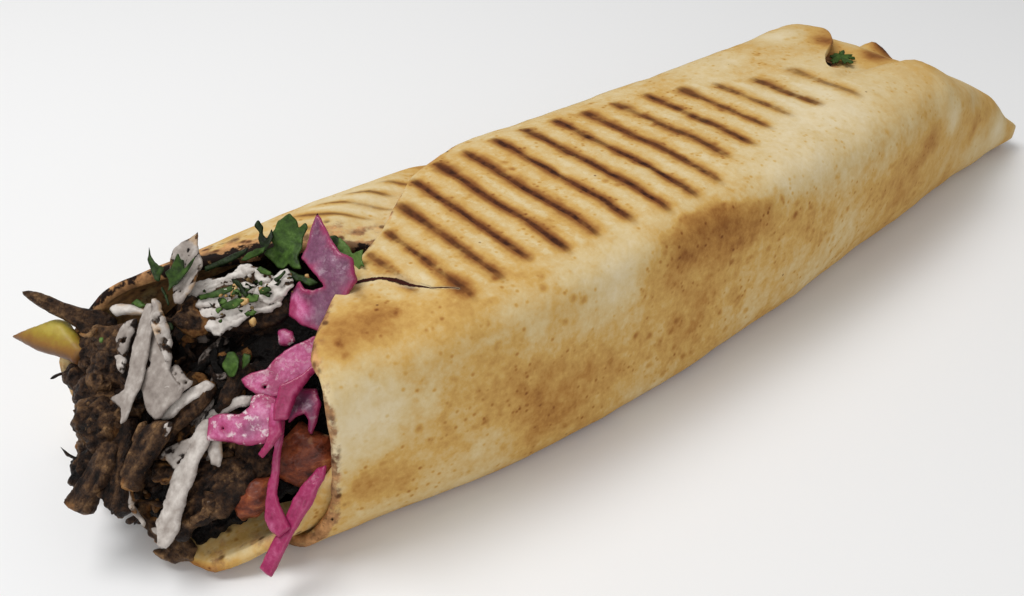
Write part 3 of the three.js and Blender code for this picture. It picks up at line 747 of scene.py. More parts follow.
# ---------------------------------------------------------------- flakes
def inside(points, loop):
    """Whether each flat point lies inside a closed loop."""
    a, b = loop, np.roll(loop, -1, axis=0)
    x, y = points[:, None, 0], points[:, None, 1]
    crosses = (a[:, 1] > y) != (b[:, 1] > y)
    rise = np.where(np.abs(b[:, 1] - a[:, 1]) < 1e-9, 1e-9, b[:, 1] - a[:, 1])
    return (np.sum(crosses & (x < a[:, 0] + (y - a[:, 1]) * (b[:, 0] - a[:, 0]) / rise), axis=1) % 2) == 1


def distance_to(points, loops):
    """How far each flat point lies from the nearest of several closed loops."""
    nearest = []
    for a in loops:
        along = np.roll(a, -1, axis=0) - a
        t = np.sum((points[:, None] - a) * along, -1) / np.maximum(np.sum(along ** 2, -1), 1e-12)
        foot = a + np.clip(t, 0, 1)[..., None] * along
        nearest.append(np.min(np.linalg.norm(points[:, None] - foot, axis=-1), axis=1))
    return np.min(nearest, axis=0)


def torn(loop, spacing, ragged, seed):
    """A closed loop cut into short steps and frayed by noise."""
    loop = np.asarray(loop, float)
    steps = []
    for a, b in zip(loop, np.roll(loop, -1, axis=0)):
        count = max(1, int(np.linalg.norm(b - a) / spacing))
        steps.append(a + (b - a) * (np.arange(count) / count)[:, None])
    steps = np.concatenate(steps)
    # Corners are eased by one averaging, then the edge is frayed across its own direction.
    steps = (np.roll(steps, 1, axis=0) + 2 * steps + np.roll(steps, -1, axis=0)) / 4
    along = np.roll(steps, -1, axis=0) - np.roll(steps, 1, axis=0)
    across = np.stack([along[:, 1], -along[:, 0]], -1)
    across /= np.maximum(np.linalg.norm(along, axis=1), 1e-9)[:, None]
    spot = np.concatenate([steps, np.full((len(steps), 1), seed * 3.7)], 1)
    fray = ragged * (0.8 * fractal(spot, 2.4, 4, seed) - 0.25 * np.abs(fractal(spot, 0.9, 2, seed + 3)))
    return steps + across * fray[:, None]


def flat_mesh(loops, spacing, seed):
    """Vertices and triangles of the flat area inside the first loop and outside the others, and per vertex
    whether it is on the rim and how far from the rim it lies."""
    low, high = loops[0].min(0), loops[0].max(0)
    counts = np.maximum(2, ((high - low) / spacing).astype(int))
    lines = [np.linspace(start, end, count) for start, end, count in zip(low, high, counts)]
    grid = np.stack(np.meshgrid(*lines, indexing="ij"), -1).reshape(-1, 2)
    grid += np.random.default_rng(1000 + seed).uniform(-0.25, 0.25, grid.shape) * spacing

    def within(points):
        keep = inside(points, loops[0])
        for hole in loops[1:]:
            keep &= ~inside(points, hole)
        return keep
    grid = grid[within(grid)]
    grid = grid[distance_to(grid, loops) > 0.5 * spacing]
    edges, on_loops = [], 0
    for loop in loops:
        k = np.arange(len(loop))
        edges += (np.stack([k, (k + 1) % len(loop)], -1) + on_loops).tolist()
        on_loops += len(loop)
    made = delaunay_2d_cdt([Vector(p) for p in np.concatenate([*loops, grid])], edges, [], 0, 1e-5, True)
    flat = np.array([tuple(p) for p in made[0]])
    triangles = np.array([face for face in made[2] if len(face) == 3])
    triangles = triangles[within(flat[triangles].mean(1))]
    p, q, r = (flat[triangles[:, k]] for k in range(3))
    backward = (q - p)[:, 0] * (r - p)[:, 1] - (q - p)[:, 1] * (r - p)[:, 0] < 0
    triangles[backward] = triangles[backward][:, ::-1]
    rim = np.array([any(i < on_loops for i in origin) or not origin for origin in made[3]])
    return flat, triangles, rim, np.where(rim, 0, distance_to(flat, loops))


def flake(outline, out, tilt=(0.0, 0.0), dome=0.0, thickness=1.5, ragged=0.5, rough=0.25, grain=0.0,
          stretch=5.0, lumpy=0.3, curl=0.0, crease=None, spacing=0.32, bevel=0.45, holes=(), seed=0,
          sheet=False):
    """A torn flat piece on the face of the filling, as vertices in roll coordinates and faces, and per
    vertex how far it is from the edge and how high its fine relief is.

    outline is a loop of (right, up) and holes are loops inside it. out is how far out the middle lies, tilt
    how much that changes per millimetre to the right and up, and dome how much it bulges. grain is the way
    the fibres run, in degrees from the right, and stretch how much longer than wide they are. rough and
    lumpy are how strong the fine fibres and the broad unevenness are, and curl is how far the edges lift.
    crease gives right, up, direction and slope of a fold. bevel is how much of the thickness the rounded
    edge takes. A sheet is round at its edges, and its two sides run parallel.
    """
    edge = torn(outline, spacing, ragged, seed)
    loops = [edge] + [torn(hole, spacing, ragged * 0.5, seed + 50 + k) for k, hole in enumerate(holes)]
    flat, triangles, rim, away = flat_mesh(loops, spacing, seed)
    n = len(flat)
    low, high = edge.min(0), edge.max(0)
    offset = flat - (low + high) / 2
    spot = np.concatenate([flat, np.full((n, 1), seed * 5.3)], 1)
    level = out + offset @ np.array(tilt)
    level += dome * (1 - np.minimum(1, np.sum((offset / np.maximum((high - low) / 2, 0.5)) ** 2, -1)))
    level += lumpy * fractal(spot, 5.0, 2, seed + 7) + curl * np.exp(-away / 1.2)
    if crease:
        direction = math.radians(crease[2])
        across = (flat - crease[:2]) @ (-math.sin(direction), math.cos(direction))
        level += crease[3] * (np.sqrt(across ** 2 + 0.15) - 0.4)
    turn = math.radians(grain)
    fibre = np.stack([flat @ (math.cos(turn), math.sin(turn)) / stretch,
                      flat @ (-math.sin(turn), math.cos(turn)), spot[:, 2]], -1)
    share = np.clip(away / (thickness * (0.5 if sheet else bevel)), 0, 1)
    swell = thickness / 2 * np.sqrt(share * (2 - share))
    fade = np.minimum(1, away / 0.5)
    fine = fractal(fibre, 0.9, 3, seed + 11) + 0.7 * fractal(spot, 1.5, 3, seed + 13)
    under = fine if sheet else fractal(fibre + 9.1, 0.9, 3, seed + 17)
    upper = np.concatenate([flat, (level + swell + rough * fine * fade)[:, None]], 1)
    lower = np.concatenate([flat, (level - swell + rough * under * fade)[:, None]], 1)
    points = lifted(on_face(np.concatenate([upper, lower[~rim]])), 0.3)
    # The lower side has its own vertices but for the rim's.
    number = np.arange(n)
    number[~rim] = np.arange(n, n + np.sum(~rim))
    none = np.full((len(triangles), 1), -1)
    # right, up and out are a left-handed set of directions, so the upper faces run the other way round.
    faces = np.concatenate([np.hstack([triangles[:, ::-1], none]), np.hstack([number[triangles], none])])
    return points, faces, np.concatenate([away, away[~rim]]), np.concatenate([fine, under[~rim]])


# ---------------------------------------------------------------- the meat
# The heap of meat bulges from the mouth as part of an ellipsoid: right, up and out, and its radii. Between
# its slices lie hollows in shade, where what lies there is painted darker: right and up, and how wide and
# high.
HEART = dict(at=(-5, -8, -3), radii=(20, 19, 10))
HOLLOWS = [((2, 5), (9, 6)), ((-7, -10.5), (2.5, 3)), ((1, -20.5), (3, 3)), ((-13, 10), (5, 3)),
           ((12, 8), (6, 6))]
# x of the cross-sections of the meat inside the roll.
HEART_STATIONS = (-23, -22, -20.5, -19, -17, -14, -10, -4, 2, 10, 30, 60, 100, 140, 152, 165, 178, 190, 200,
                  211)
HEART_SIDES = 120
# Where loose shreds and crumbs fall: the middle, right and up, and the radius of a round patch.
STREWN_AT, STREWN_RADIUS = (-8, -8), 19
SHREDS_TRIED, CRUMBS_TRIED = 230, 260
MEAT_NUMBERS = ("sauce", "tone", "gold", "relief")
# Shaved slices of meat over the face of the filling. sauce is how much white sauce covers them, tone how
# light they are, partly a painted shade for slices that lie in shadow, and gold how far they are browned at
# their edges.
DARK_SLICES = [
    # the slab that sticks out to the left, and what it ends in
    dict(outline=[(-38.5, 4.3), (-37.6, 5.0), (-35.4, 5.2), (-32.6, 4.8), (-29.4, 4.9), (-26.3, 5.8),
         (-23.7, 5.3), (-22.4, 2.9), (-22.4, 0.4), (-24.3, -1.5), (-27.6, 0.2), (-29.2, 1.5), (-31.4, 1.9),
         (-33.6, 2.3), (-36.3, 3.0), (-38.2, 3.8)], out=8.8, tilt=(-0.55, 0.1), thickness=2.0, ragged=0.22,
         rough=0.10, grain=-6, tone=0.52),
    dict(outline=[(-24.4, 1.2), (-23.0, 3.0), (-18.0, 4.4), (-14.8, 4.0), (-14.2, 1.6), (-16.5, -0.8),
         (-21.0, -1.2)], out=9.8, thickness=1.8, ragged=0.7, rough=0.28, grain=24, tone=0.66, gold=0.4,
         sauce=0.18),
    dict(outline=[(-25.5, 0.7), (-23.6, 0.9), (-22.0, 2.5), (-21.4, 2.3), (-22.4, 0.4), (-24.3, 0.0)],
         out=11.4, thickness=1.0, ragged=0.2, rough=0.1, grain=20, tone=1.15, gold=0.9),
    # the big slabs at the front left
    dict(outline=[(-10.4, -15.3), (-8.5, -14.3), (-7.2, -15.4), (-6.7, -18.5), (-7.0, -21.7), (-8.1, -24.1),
         (-8.0, -26.9), (-9.2, -27.5), (-12.1, -27.4), (-13.5, -26.5), (-12.6, -23.9), (-11.8, -21.4),
         (-11.6, -18.5)], out=12.0, tilt=(0.05, -0.03), dome=0.2, thickness=3.0, ragged=0.25, rough=0.26,
         grain=82, stretch=9, bevel=0.16, lumpy=0.2, tone=0.5, golden_end=(-11.2, -27.2, 2.2)),
    dict(outline=[(-9.6, -10.8), (-7.7, -9.8), (-6.4, -13.2), (-5.5, -16.6), (-4.5, -20.3), (-2.9, -23.1),
         (-1.6, -24.4), (-3.1, -25.9), (-6.2, -24.8), (-8.3, -23.6), (-8.8, -21.1), (-9.0, -18.1),
         (-9.6, -14.1)], out=10.9, tilt=(0, -0.05), dome=0.2, thickness=2.8, ragged=0.5, rough=0.34,
         grain=-68, stretch=8, bevel=0.16, lumpy=0.2, tone=0.16),
    dict(outline=[(-2.4, -9.1), (0.7, -8.5), (0.9, -11.2), (0.0, -14.3), (-0.8, -16.8), (-0.6, -20.2),
         (-1.0, -21.0), (-3.3, -21.3), (-4.6, -19.3), (-4.9, -15.9), (-4.4, -12.7), (-3.5, -10.4)],
         out=12.5, tilt=(0.1, -0.02), dome=0.2, thickness=2.8, ragged=0.25, rough=0.28, grain=80, stretch=9,
         bevel=0.16, lumpy=0.2, tone=0.5, golden_end=(-2.8, -20.8, 2.0)),
    dict(outline=[(-0.6, -8.8), (1.3, -8.5), (1.4, -10.1), (0.3, -12.2), (-0.9, -11.8), (-0.7, -10.1)],
         out=13.4, thickness=1.0, ragged=0.5, rough=0.3, grain=75, tone=0.5, sauce=0.36, wear=0.8),
    dict(outline=[(-4.2, -9.4), (-6.0, -10.7), (-5.8, -13.1), (-4.1, -15.2), (-3.4, -13.5), (-3.2, -11.2)],
         out=12.2, thickness=1.4, ragged=0.7, rough=0.4, grain=80, tone=0.7, gold=0.5),
    dict(outline=[(-4.7, -20.6), (-3.3, -20.9), (-2.0, -23.0), (-0.6, -24.2), (-1.5, -24.9), (-3.2, -23.5),
         (-4.4, -22.2)], out=10.6, thickness=0.9, ragged=0.35, rough=0.2, grain=-55, sauce=0.75, tone=0.5,
         gold=0.8),
    dict(outline=[(-13.7, -17.0), (-15.6, -18.3), (-16.6, -20.0), (-16.1, -21.6), (-15.7, -24.0),
         (-14.2, -24.3), (-13.2, -22.8), (-12.4, -20.0), (-12.0, -17.6)], out=10.4, thickness=2.6,
         ragged=0.8, rough=0.5, stretch=1.5, grain=80, tone=0.08),
    dict(outline=[(-19.9, -18.6), (-17.7, -19.2), (-14.6, -19.4), (-14.6, -19.9), (-17.8, -19.7)], out=11.4,
         thickness=0.5, ragged=0.12, rough=0.05, grain=-10, tone=0.2, spacing=0.2),
    # the crumbly knob above them, with its golden places
    dict(outline=[(-19.3, -12.0), (-17.6, -9.0), (-14.4, -8.0), (-10.5, -10.3), (-9.5, -13.5),
         (-10.3, -15.7), (-12.2, -17.4), (-15.2, -16.0), (-18.6, -14.4)], out=11.0, dome=1.6, thickness=3.2,
         ragged=0.8, rough=0.6, stretch=1.3, lumpy=0.8, grain=40, tone=0.46,
         golden_end=(-10.6, -13.2, 1.6)),
    dict(outline=[(-15.9, -14.9), (-14.0, -14.3), (-13.4, -15.8), (-15.0, -16.9), (-16.3, -16.1)], out=11.0,
         thickness=2.0, ragged=0.7, rough=0.4, stretch=1.5, tone=1.0, gold=0.8),
    # the slabs under the sauced ones in the middle
    dict(outline=[(-3.1, -8.9), (-0.4, -5.6), (3.6, -0.6), (4.6, -1.0), (4.4, -3.7), (3.1, -6.7),
         (0.9, -9.5), (0.1, -11.6), (-2.0, -12.2), (-2.8, -10.4)], out=10.0, tilt=(0.2, -0.1),
         thickness=2.6, ragged=0.35, rough=0.30, grain=55, stretch=8, bevel=0.3, tone=0.44),
    dict(outline=[(5.1, 6.0), (9.4, 4.0), (8.9, 0.9), (7.4, -2.6), (6.1, -5.0), (4.8, -4.3), (5.3, -0.9),
         (5.2, 2.5)], out=8.6, tilt=(0, -0.05), thickness=2.4, ragged=0.4, rough=0.3, grain=72, stretch=8,
         bevel=0.3, tone=0.2),
    dict(outline=[(-2.8, -15.9), (0.9, -15.1), (2.4, -14.2), (3.0, -17.0), (1.4, -18.3), (-1.6, -18.9)],
         out=8.2, thickness=2.4, ragged=0.5, rough=0.35, grain=10, tone=0.5, gold=0.8),
    # front right, under the cabbage
    dict(outline=[(3.8, -14.4), (5.1, -12.7), (7.8, -11.8), (10.8, -10.4), (13.4, -10.6), (14.6, -14.8),
         (13.2, -18.6), (11.2, -21.2), (7.8, -24.1), (7.3, -26.4), (4.9, -26.5), (4.1, -22.0),
         (4.1, -17.8)], out=5.6, tilt=(-0.24, 0.02), dome=0.8, thickness=2.4, ragged=0.6, rough=0.5,
         grain=64, stretch=3, tone=0.36, gold=0.2),
    dict(outline=[(7.6, -17.6), (9.0, -17.2), (10.8, -19.4), (10.4, -21.4), (8.0, -23.2), (7.0, -22.4),
         (8.6, -20.4)], out=7.4, thickness=1.4, ragged=0.6, rough=0.4, stretch=1.5, grain=50, tone=0.75,
         gold=0.4, sauce=0.12),
    dict(outline=[(-0.6, -30.3), (1.7, -29.0), (3.2, -26.3), (5.6, -26.4), (7.0, -27.2), (7.2, -29.5),
         (5.0, -30.2), (4.1, -31.0), (1.7, -31.0)], out=2.4, tilt=(-0.1, 0), thickness=1.8, ragged=0.35,
         rough=0.22, grain=-10, tone=0.72, gold=0.35),
    dict(outline=[(-4.9, -23.6), (-1.6, -21.8), (1.8, -21.8), (3.0, -20.2), (3.4, -22.4), (3.0, -24.6),
         (4.4, -27.4), (1.7, -28.6), (-0.3, -27.2), (-2.2, -25.8)], out=6.4, tilt=(-0.2, 0), thickness=2.4,
         ragged=0.9, rough=0.42, stretch=2, grain=-30, tone=0.5, gold=0.6, sauce=0.25,
         holes=[[(-1.6, -22.9), (1.4, -22.8), (1.2, -24.2), (-1.0, -24.4)]]),
    # a dark sheet on the flatbread under the filling's front right: a painted shadow of the filling
    dict(outline=[(6.1, -27.2), (10.2, -23.1), (15.4, -17.8), (20.8, -12.4), (22.0, -10.1), (19.5, -8.9),
         (13.9, -13.8), (9.1, -18.1), (5.0, -23.3), (3.9, -26.0)], out=0.6, thickness=1.4, ragged=0.9,
         rough=0.5, stretch=2, grain=45, tone=-0.35),
    # the striated dark slice under the herbs
    dict(outline=[(-5.4, 9.0), (2.4, 12.2), (5.3, 14.2), (8.2, 16.2), (9.0, 18.2), (10.6, 16.8),
         (11.0, 14.8), (8.7, 12.3), (5.6, 10.6), (2.6, 8.9), (-3.6, 6.6)], out=6.2, tilt=(0, 0.1),
         thickness=2.0, ragged=0.5, rough=0.34, grain=26, stretch=10, tone=0.22),
    # crumbly bits at the back
    dict(outline=[(-8.2, 9.9), (-9.0, 12.6), (-7.5, 13.1), (-5.8, 11.4), (-3.9, 9.9), (-2.3, 10.2),
         (-2.4, 7.3), (-4.4, 5.9), (-7.3, 6.4), (-9.8, 7.5)], out=8.4, dome=1.2, thickness=2.6, ragged=0.8,
         rough=0.5, stretch=1.2, tone=0.45, gold=1.0),
    dict(outline=[(-15.0, 5.4), (-12.4, 7.4), (-9.0, 8.2), (-8.0, 6.0), (-10.0, 3.4), (-13.4, 3.2)],
         out=9.2, thickness=2.2, ragged=0.8, rough=0.4, stretch=2, grain=30, tone=0.35, sauce=0.1),
]
SAUCED_SLICES = [
    # the upright slice at the back
    dict(outline=[(-8.1, 23.4), (-7.7, 21.3), (-6.2, 19.7), (-5.0, 18.2), (-5.6, 15.6), (-5.8, 13.0),
         (-6.6, 10.6), (-8.0, 10.2), (-9.4, 12.6), (-11.2, 14.6), (-11.8, 17.0), (-12.2, 18.8),
         (-11.7, 20.1), (-10.1, 21.5), (-9.2, 22.2)], out=12.0, tilt=(0.05, 0.1), thickness=0.8, ragged=0.3,
         rough=0.14, grain=60, curl=0.3, sauce=0.9, tone=0.42, wear=0.6, gold=0.6,
         golden_end=(-8.2, 22.6, 1.6)),
    dict(outline=[(-22.4, 6.1), (-21.9, 7.1), (-20.0, 7.9), (-16.7, 8.2), (-14.1, 8.0), (-13.8, 7.1),
         (-16.0, 6.5), (-18.1, 6.2), (-20.3, 5.3), (-21.3, 5.5)], out=9.8, tilt=(0.08, 0), dome=0.3,
         thickness=1.6, ragged=0.2, rough=0.06, grain=8, sauce=1.4, tone=0.85, gold=0.8),
    dict(outline=[(-12.1, 8.9), (-12.1, 5.8), (-11.5, 1.7), (-10.4, -2.8), (-9.7, -6.0), (-12.4, -8.2),
         (-9.0, -9.1), (-7.9, -11.6), (-6.9, -10.6), (-6.9, -7.3), (-6.5, -4.8), (-7.0, -0.8), (-8.6, 5.0),
         (-10.8, 9.2)], out=13.7, tilt=(0.12, 0.02), dome=0.2, thickness=0.6, ragged=0.2, rough=0.04,
         grain=75, curl=0.1, sauce=1.4, lumpy=0.16, tone=0.42),
    dict(outline=[(-11.2, 9.0), (-10.2, 4.6), (-8.9, -0.4), (-7.0, -5.2), (-4.7, -7.9), (-2.5, -9.1),
         (-1.3, -8.6), (-0.4, -6.2), (0.9, -4.4), (0.9, -2.6), (-1.7, -1.3), (-2.8, -0.5), (-3.1, 1.7),
         (-5.2, 3.6), (-8.4, 7.3), (-10.0, 9.4)], holes=[[(-8.2, 0.2), (-6.9, -0.4), (-7.0, -1.2),
         (-8.0, -2.6), (-8.4, -1.3)]], out=13.0, tilt=(0.05, 0.02), dome=0.3, thickness=0.6, ragged=0.2,
         rough=0.05, grain=65, curl=0.1, sauce=1.5, lumpy=0.16, tone=0.25),
    dict(outline=[(-10.9, 10.0), (-9.4, 9.7), (-7.3, 8.2), (-5.4, 6.3), (-4.0, 3.9), (-3.0, 1.0),
         (-3.9, 0.4), (-5.6, 2.4), (-7.7, 4.6), (-9.4, 6.8)], holes=[[(-5.4, 4.2), (-4.6, 4.0), (-4.7, 3.1),
         (-5.6, 3.4)], [(-8.0, 7.0), (-7.1, 6.7), (-7.5, 5.9), (-8.3, 6.4)], [(-6.9, 5.2), (-6.3, 5.2),
         (-6.4, 4.6), (-7.0, 4.7)]], out=13.8, dome=0.8, thickness=1.3, ragged=0.4, rough=0.32, stretch=1.3,
         grain=-50, sauce=0.85, tone=0.5, gold=0.8),
    dict(outline=[(-4.1, -0.2), (-2.8, 0.6), (-1.1, 0.1), (0.2, -1.1), (1.8, -1.0), (1.5, -2.3),
         (0.6, -3.5), (-1.0, -4.6), (-3.3, -3.8)], holes=[[(-0.9, -2.3), (0.0, -2.2), (-0.1, -3.1),
         (-0.9, -3.0)], [(0.4, -1.5), (0.9, -1.5), (0.8, -1.9), (0.4, -1.8)], [(-2.2, -0.6), (-1.6, -0.6),
         (-1.7, -1.2), (-2.2, -1.1)]], out=12.6, dome=0.4, thickness=0.9, ragged=0.4, rough=0.25,
         stretch=1.2, sauce=1.0, tone=0.5),
    dict(outline=[(-16.5, 1.2), (-16.8, 3.4), (-15.9, 5.0), (-14.0, 5.9), (-13.2, 4.8), (-13.0, 1.8),
         (-13.2, -0.7), (-14.9, -1.0)], holes=[[(-14.6, 2.2), (-13.9, 2.4), (-13.9, 1.5), (-14.6, 1.4)]],
         out=11.8, tilt=(0.2, 0), dome=0.6, thickness=1.2, ragged=0.35, rough=0.2, grain=80, sauce=0.75,
         tone=0.35),
    dict(outline=[(-15.7, -1.0), (-14.0, -0.4), (-12.8, -1.1), (-12.5, -3.7), (-13.9, -3.4)], out=12.0,
         thickness=1.0, ragged=0.3, rough=0.1, sauce=1.0, tone=0.6),
    # the middle and the front
    dict(outline=[(-2.7, -8.4), (-0.9, -4.6), (0.9, -2.2), (2.8, -0.3), (4.9, -0.5), (4.0, -2.2),
         (2.2, -4.1), (0.9, -6.0), (-0.1, -7.8), (-1.8, -8.8)], out=11.4, tilt=(-0.05, -0.05), dome=0.3,
         thickness=0.9, ragged=0.15, rough=0.04, grain=52, lumpy=0.16, bevel=0.3, sauce=1.5, tone=0.8),
    dict(outline=[(-1.9, -15.3), (-0.9, -13.2), (1.1, -11.4), (3.1, -9.9), (3.6, -8.6), (4.3, -10.0),
         (3.5, -12.9), (3.2, -15.7), (1.9, -15.8), (0.2, -15.0)], out=9.4, tilt=(-0.05, 0.05), dome=0.3,
         thickness=0.9, ragged=0.3, rough=0.12, grain=50, tone=0.4, sauce=0.8, lumpy=0.18, gold=0.6),
    dict(outline=[(3.9, -6.6), (5.3, -5.9), (7.0, -8.4), (6.8, -10.9), (6.3, -12.8), (6.6, -15.3),
         (6.4, -18.4), (6.5, -21.3), (7.0, -24.8), (6.0, -28.1), (4.0, -28.2), (2.8, -25.8), (2.0, -24.6),
         (2.5, -22.4), (2.5, -20.3), (2.0, -16.1), (3.0, -13.2), (3.6, -11.0), (3.3, -9.0)], out=9.2,
         tilt=(0.08, 0.02), dome=0.5, thickness=1.1, ragged=0.25, rough=0.07, grain=82, lumpy=0.18,
         bevel=0.3, sauce=1.4, tone=0.62, gold=0.3),
    dict(outline=[(6.2, -8.6), (7.9, -8.2), (9.3, -11.0), (9.5, -13.0), (7.8, -13.2), (6.1, -10.9)],
         out=8.4, thickness=0.8, ragged=0.25, rough=0.08, grain=-70, lumpy=0.16, sauce=1.1, tone=0.5,
         gold=0.5),
    dict(outline=[(3.2, -7.2), (3.8, -4.7), (5.5, -2.7), (8.4, -0.8), (10.6, -0.3), (10.4, -1.9),
         (7.6, -3.8), (5.7, -5.5), (4.4, -6.2)], out=8.0, tilt=(-0.05, 0.05), dome=0.3, thickness=0.9,
         ragged=0.3, rough=0.1, grain=35, lumpy=0.18, sauce=1.2, tone=0.75),
    dict(outline=[(-6.6, -15.4), (-7.4, -16.9), (-6.8, -19.4), (-6.2, -21.4), (-4.2, -23.9), (-1.2, -25.2),
         (0.7, -26.4), (0.9, -25.4), (-1.0, -24.2), (-3.3, -22.9), (-5.0, -21.0), (-5.6, -18.4)], out=9.8,
         tilt=(-0.1, 0.02), thickness=1.0, ragged=0.3, rough=0.12, grain=-70, sauce=1.0, tone=0.4,
         gold=0.6),
]
# The slice with herbs on it, and its white strips from the back to the front.
HERBED_STRIP = dict(tilt=(-0.04, 0.1), thickness=0.9, ragged=0.7, rough=0.40, grain=27, stretch=7, lumpy=0.26,
                    bevel=0.34, sauce=1.1, wear=0.7, tone=0.95)
HERBED_STRIPS = [
    # the slice itself, which the strips stand out from
    dict(outline=[(-11.4, 13.0), (-8.9, 14.0), (-6.0, 15.9), (-2.6, 17.4), (-0.9, 19.0), (1.0, 20.8),
         (4.4, 20.6), (6.6, 20.1), (8.9, 21.6), (10.7, 19.2), (9.6, 17.2), (9.2, 15.9), (7.6, 14.4),
         (5.0, 12.6), (3.4, 11.2), (1.6, 9.6), (0.0, 8.2), (-3.0, 7.8), (-4.6, 9.6), (-6.4, 12.0)], out=8.4,
         sauce=0.74, wear=0.9, tone=0.72),
    dict(outline=[(-11.6, 13.1), (-8.9, 14.2), (-6.0, 16.1), (-2.6, 17.6), (-0.9, 19.3), (-0.5, 20.6),
         (1.0, 21.1), (2.7, 20.5), (2.5, 18.8), (0.4, 18.1), (-1.9, 16.6), (-5.2, 14.1), (-7.0, 12.5)],
         out=9.0),
    dict(outline=[(-5.8, 11.1), (-5.4, 12.7), (-2.8, 14.6), (-0.6, 16.2), (2.4, 17.6), (4.4, 17.8),
         (4.6, 16.0), (2.9, 13.9), (-0.6, 12.1), (-3.5, 11.3)], out=9.3),
    dict(outline=[(-4.8, 9.4), (-4.8, 11.2), (-1.0, 12.5), (2.0, 13.8), (4.4, 15.0), (5.4, 14.6),
         (4.6, 12.9), (4.4, 11.8), (1.1, 10.4), (-1.8, 9.7)], out=8.8),
    dict(outline=[(-3.2, 7.4), (-2.9, 9.6), (-0.6, 10.8), (2.6, 12.0), (4.3, 13.2), (3.6, 11.2), (1.8, 9.6),
         (0.2, 8.0), (-1.6, 8.0)], out=8.4),
    dict(outline=[(2.8, 16.1), (4.4, 17.8), (6.6, 19.9), (8.9, 22.0), (10.2, 21.0), (11.0, 19.2),
         (9.8, 17.3), (8.7, 15.8), (7.5, 14.9), (5.8, 15.3)], out=9.0),
    dict(outline=[(3.5, 13.1), (5.5, 14.8), (8.8, 16.3), (9.6, 15.8), (7.6, 14.2), (5.3, 13.0)], out=8.2),
    dict(outline=[(2.8, 20.3), (4.4, 20.9), (6.6, 20.4), (6.5, 19.0), (4.9, 18.0), (3.4, 18.8)], out=9.4),
]
LUMPS = [
    dict(at=(-16, -12, 8), radii=(4.5, 4.5, 4.5), tone=0.55),
    dict(at=(-18.5, -3.5, 6.5), radii=(4.8, 4.2, 4.5), tone=0.3),
    dict(at=(-22, 0.0, 5), radii=(5, 3.5, 4.5), tone=0.35),
    dict(at=(-8.5, 11.5, 5), radii=(3.2, 4, 3), tone=0.5),
    dict(at=(-14, 1.5, 7), radii=(4.5, 4, 4), tone=0.3),
    dict(at=(-13.4, -20, 5), radii=(4, 5, 4.5), tone=0.15),
    dict(at=(-25, -2.0, 4.6), radii=(4.5, 4, 4), tone=0.25),
    dict(at=(-20.0, -8.5, 6.2), radii=(4.4, 4.0, 4), tone=0.15),
    dict(at=(-11.5, -4.5, 7), radii=(3.6, 4.2, 4), tone=0.15),
    dict(at=(-11.4, -10.5, 8.6), radii=(3.4, 3.6, 3.4), tone=0.6),
    dict(at=(-15.0, -14.8, 8.4), radii=(2.2, 2.4, 2.0), tone=0.7, gold=0.7),
    dict(at=(-18.6, -6.4, 9.0), radii=(2.4, 2.0, 1.8), tone=0.6),
    dict(at=(10.0, 4.0, 3.2), radii=(4.2, 2.6, 3), tone=0.35),
    dict(at=(0.6, -19.4, 4.6), radii=(3.0, 2.6, 2.6), tone=0.25),
    dict(at=(8.6, 8.0, 2.8), radii=(4.5, 3.0, 2.6), tone=0.2),
    dict(at=(12.4, -9.6, 2.6), radii=(4, 4, 3), tone=0.2),
    dict(at=(-16.6, -17.4, 6.4), radii=(3, 3, 3.2), tone=0.5, gold=0.6),
    dict(at=(-27.4, -6.5, 4.4), radii=(2.8, 2.6, 2.6), tone=0.2),
]
# Burnt fibres that stick out at the left.
LOOSE_FIBRES = [[(-31.8, -8.8, 6.0), (-30.2, -7.4, 5.8), (-27.6, -6.2, 4.6)]]


def ball(subdivisions):
    """Unit vertices and triangles of a subdivided icosahedron."""
    form = bmesh.new()
    bmesh.ops.create_icosphere(form, subdivisions=subdivisions, radius=1.0)
    points = np.array([v.co[:] for v in form.verts])
    faces = np.array([[v.index for v in f.verts] + [-1] for f in form.faces])
    form.free()
    return points, faces


BALLS = {detail: ball(detail) for detail in (3, 5, 6)}


def hollow(right, up):
    """How deep a place on the face lies in the hollows between the slices, where shade is painted."""
    return max(float(bell(math.hypot((right - at[0]) / reach[0], (up - at[1]) / reach[1]), 1.0))
               for at, reach in HOLLOWS)


def around_place(points, right, up, out, spread):
    """1 at a place on the face, and less the farther from it the points are."""
    return bell(np.linalg.norm(points - on_face((right, up, out)), axis=1), spread)


def add_flake(meshes, sauce=0.0, tone=0.5, gold=0.0, golden_end=None, wear=0.2, seed=0, **shape):
    """A slice of meat. The sauce on it wears thin here and there and along its edges; in its grooves it thins
    to show the dark meat as painted shade, and on its ridges it is fuller.

    golden_end is a browned place on it: right, up and spread."""
    points, faces, away, relief = flake(seed=seed, **shape)
    # The relief sets how much less sauce lies in the grooves and more on the ridges: painted shade in the
    # grooves.
    cover = sauce + 0.45 * fractal(points, 4.5, 3, 77 + seed) - 0.25 * np.exp(-away / 0.5) + wear * relief
    browned = gold * np.exp(-away / 0.9) * (0.7 + 0.9 * fractal(points, 3.5, 2, 5 + seed))
    if golden_end:
        *place, spread = golden_end
        browned += 1.1 * around_place(points, *place, shape["out"], spread)
    meshes.add(points, faces, sauce=np.clip(cover, 0, 1.5) * (sauce > 0), tone=tone,
               gold=np.clip(browned, 0, 1), relief=relief)


def knobs_on(points, size, seed):
    """The relief of crumbly meat: rounded knobs between sharp cracks."""
    return 0.35 - np.abs(fractal(points, size, 4, seed))


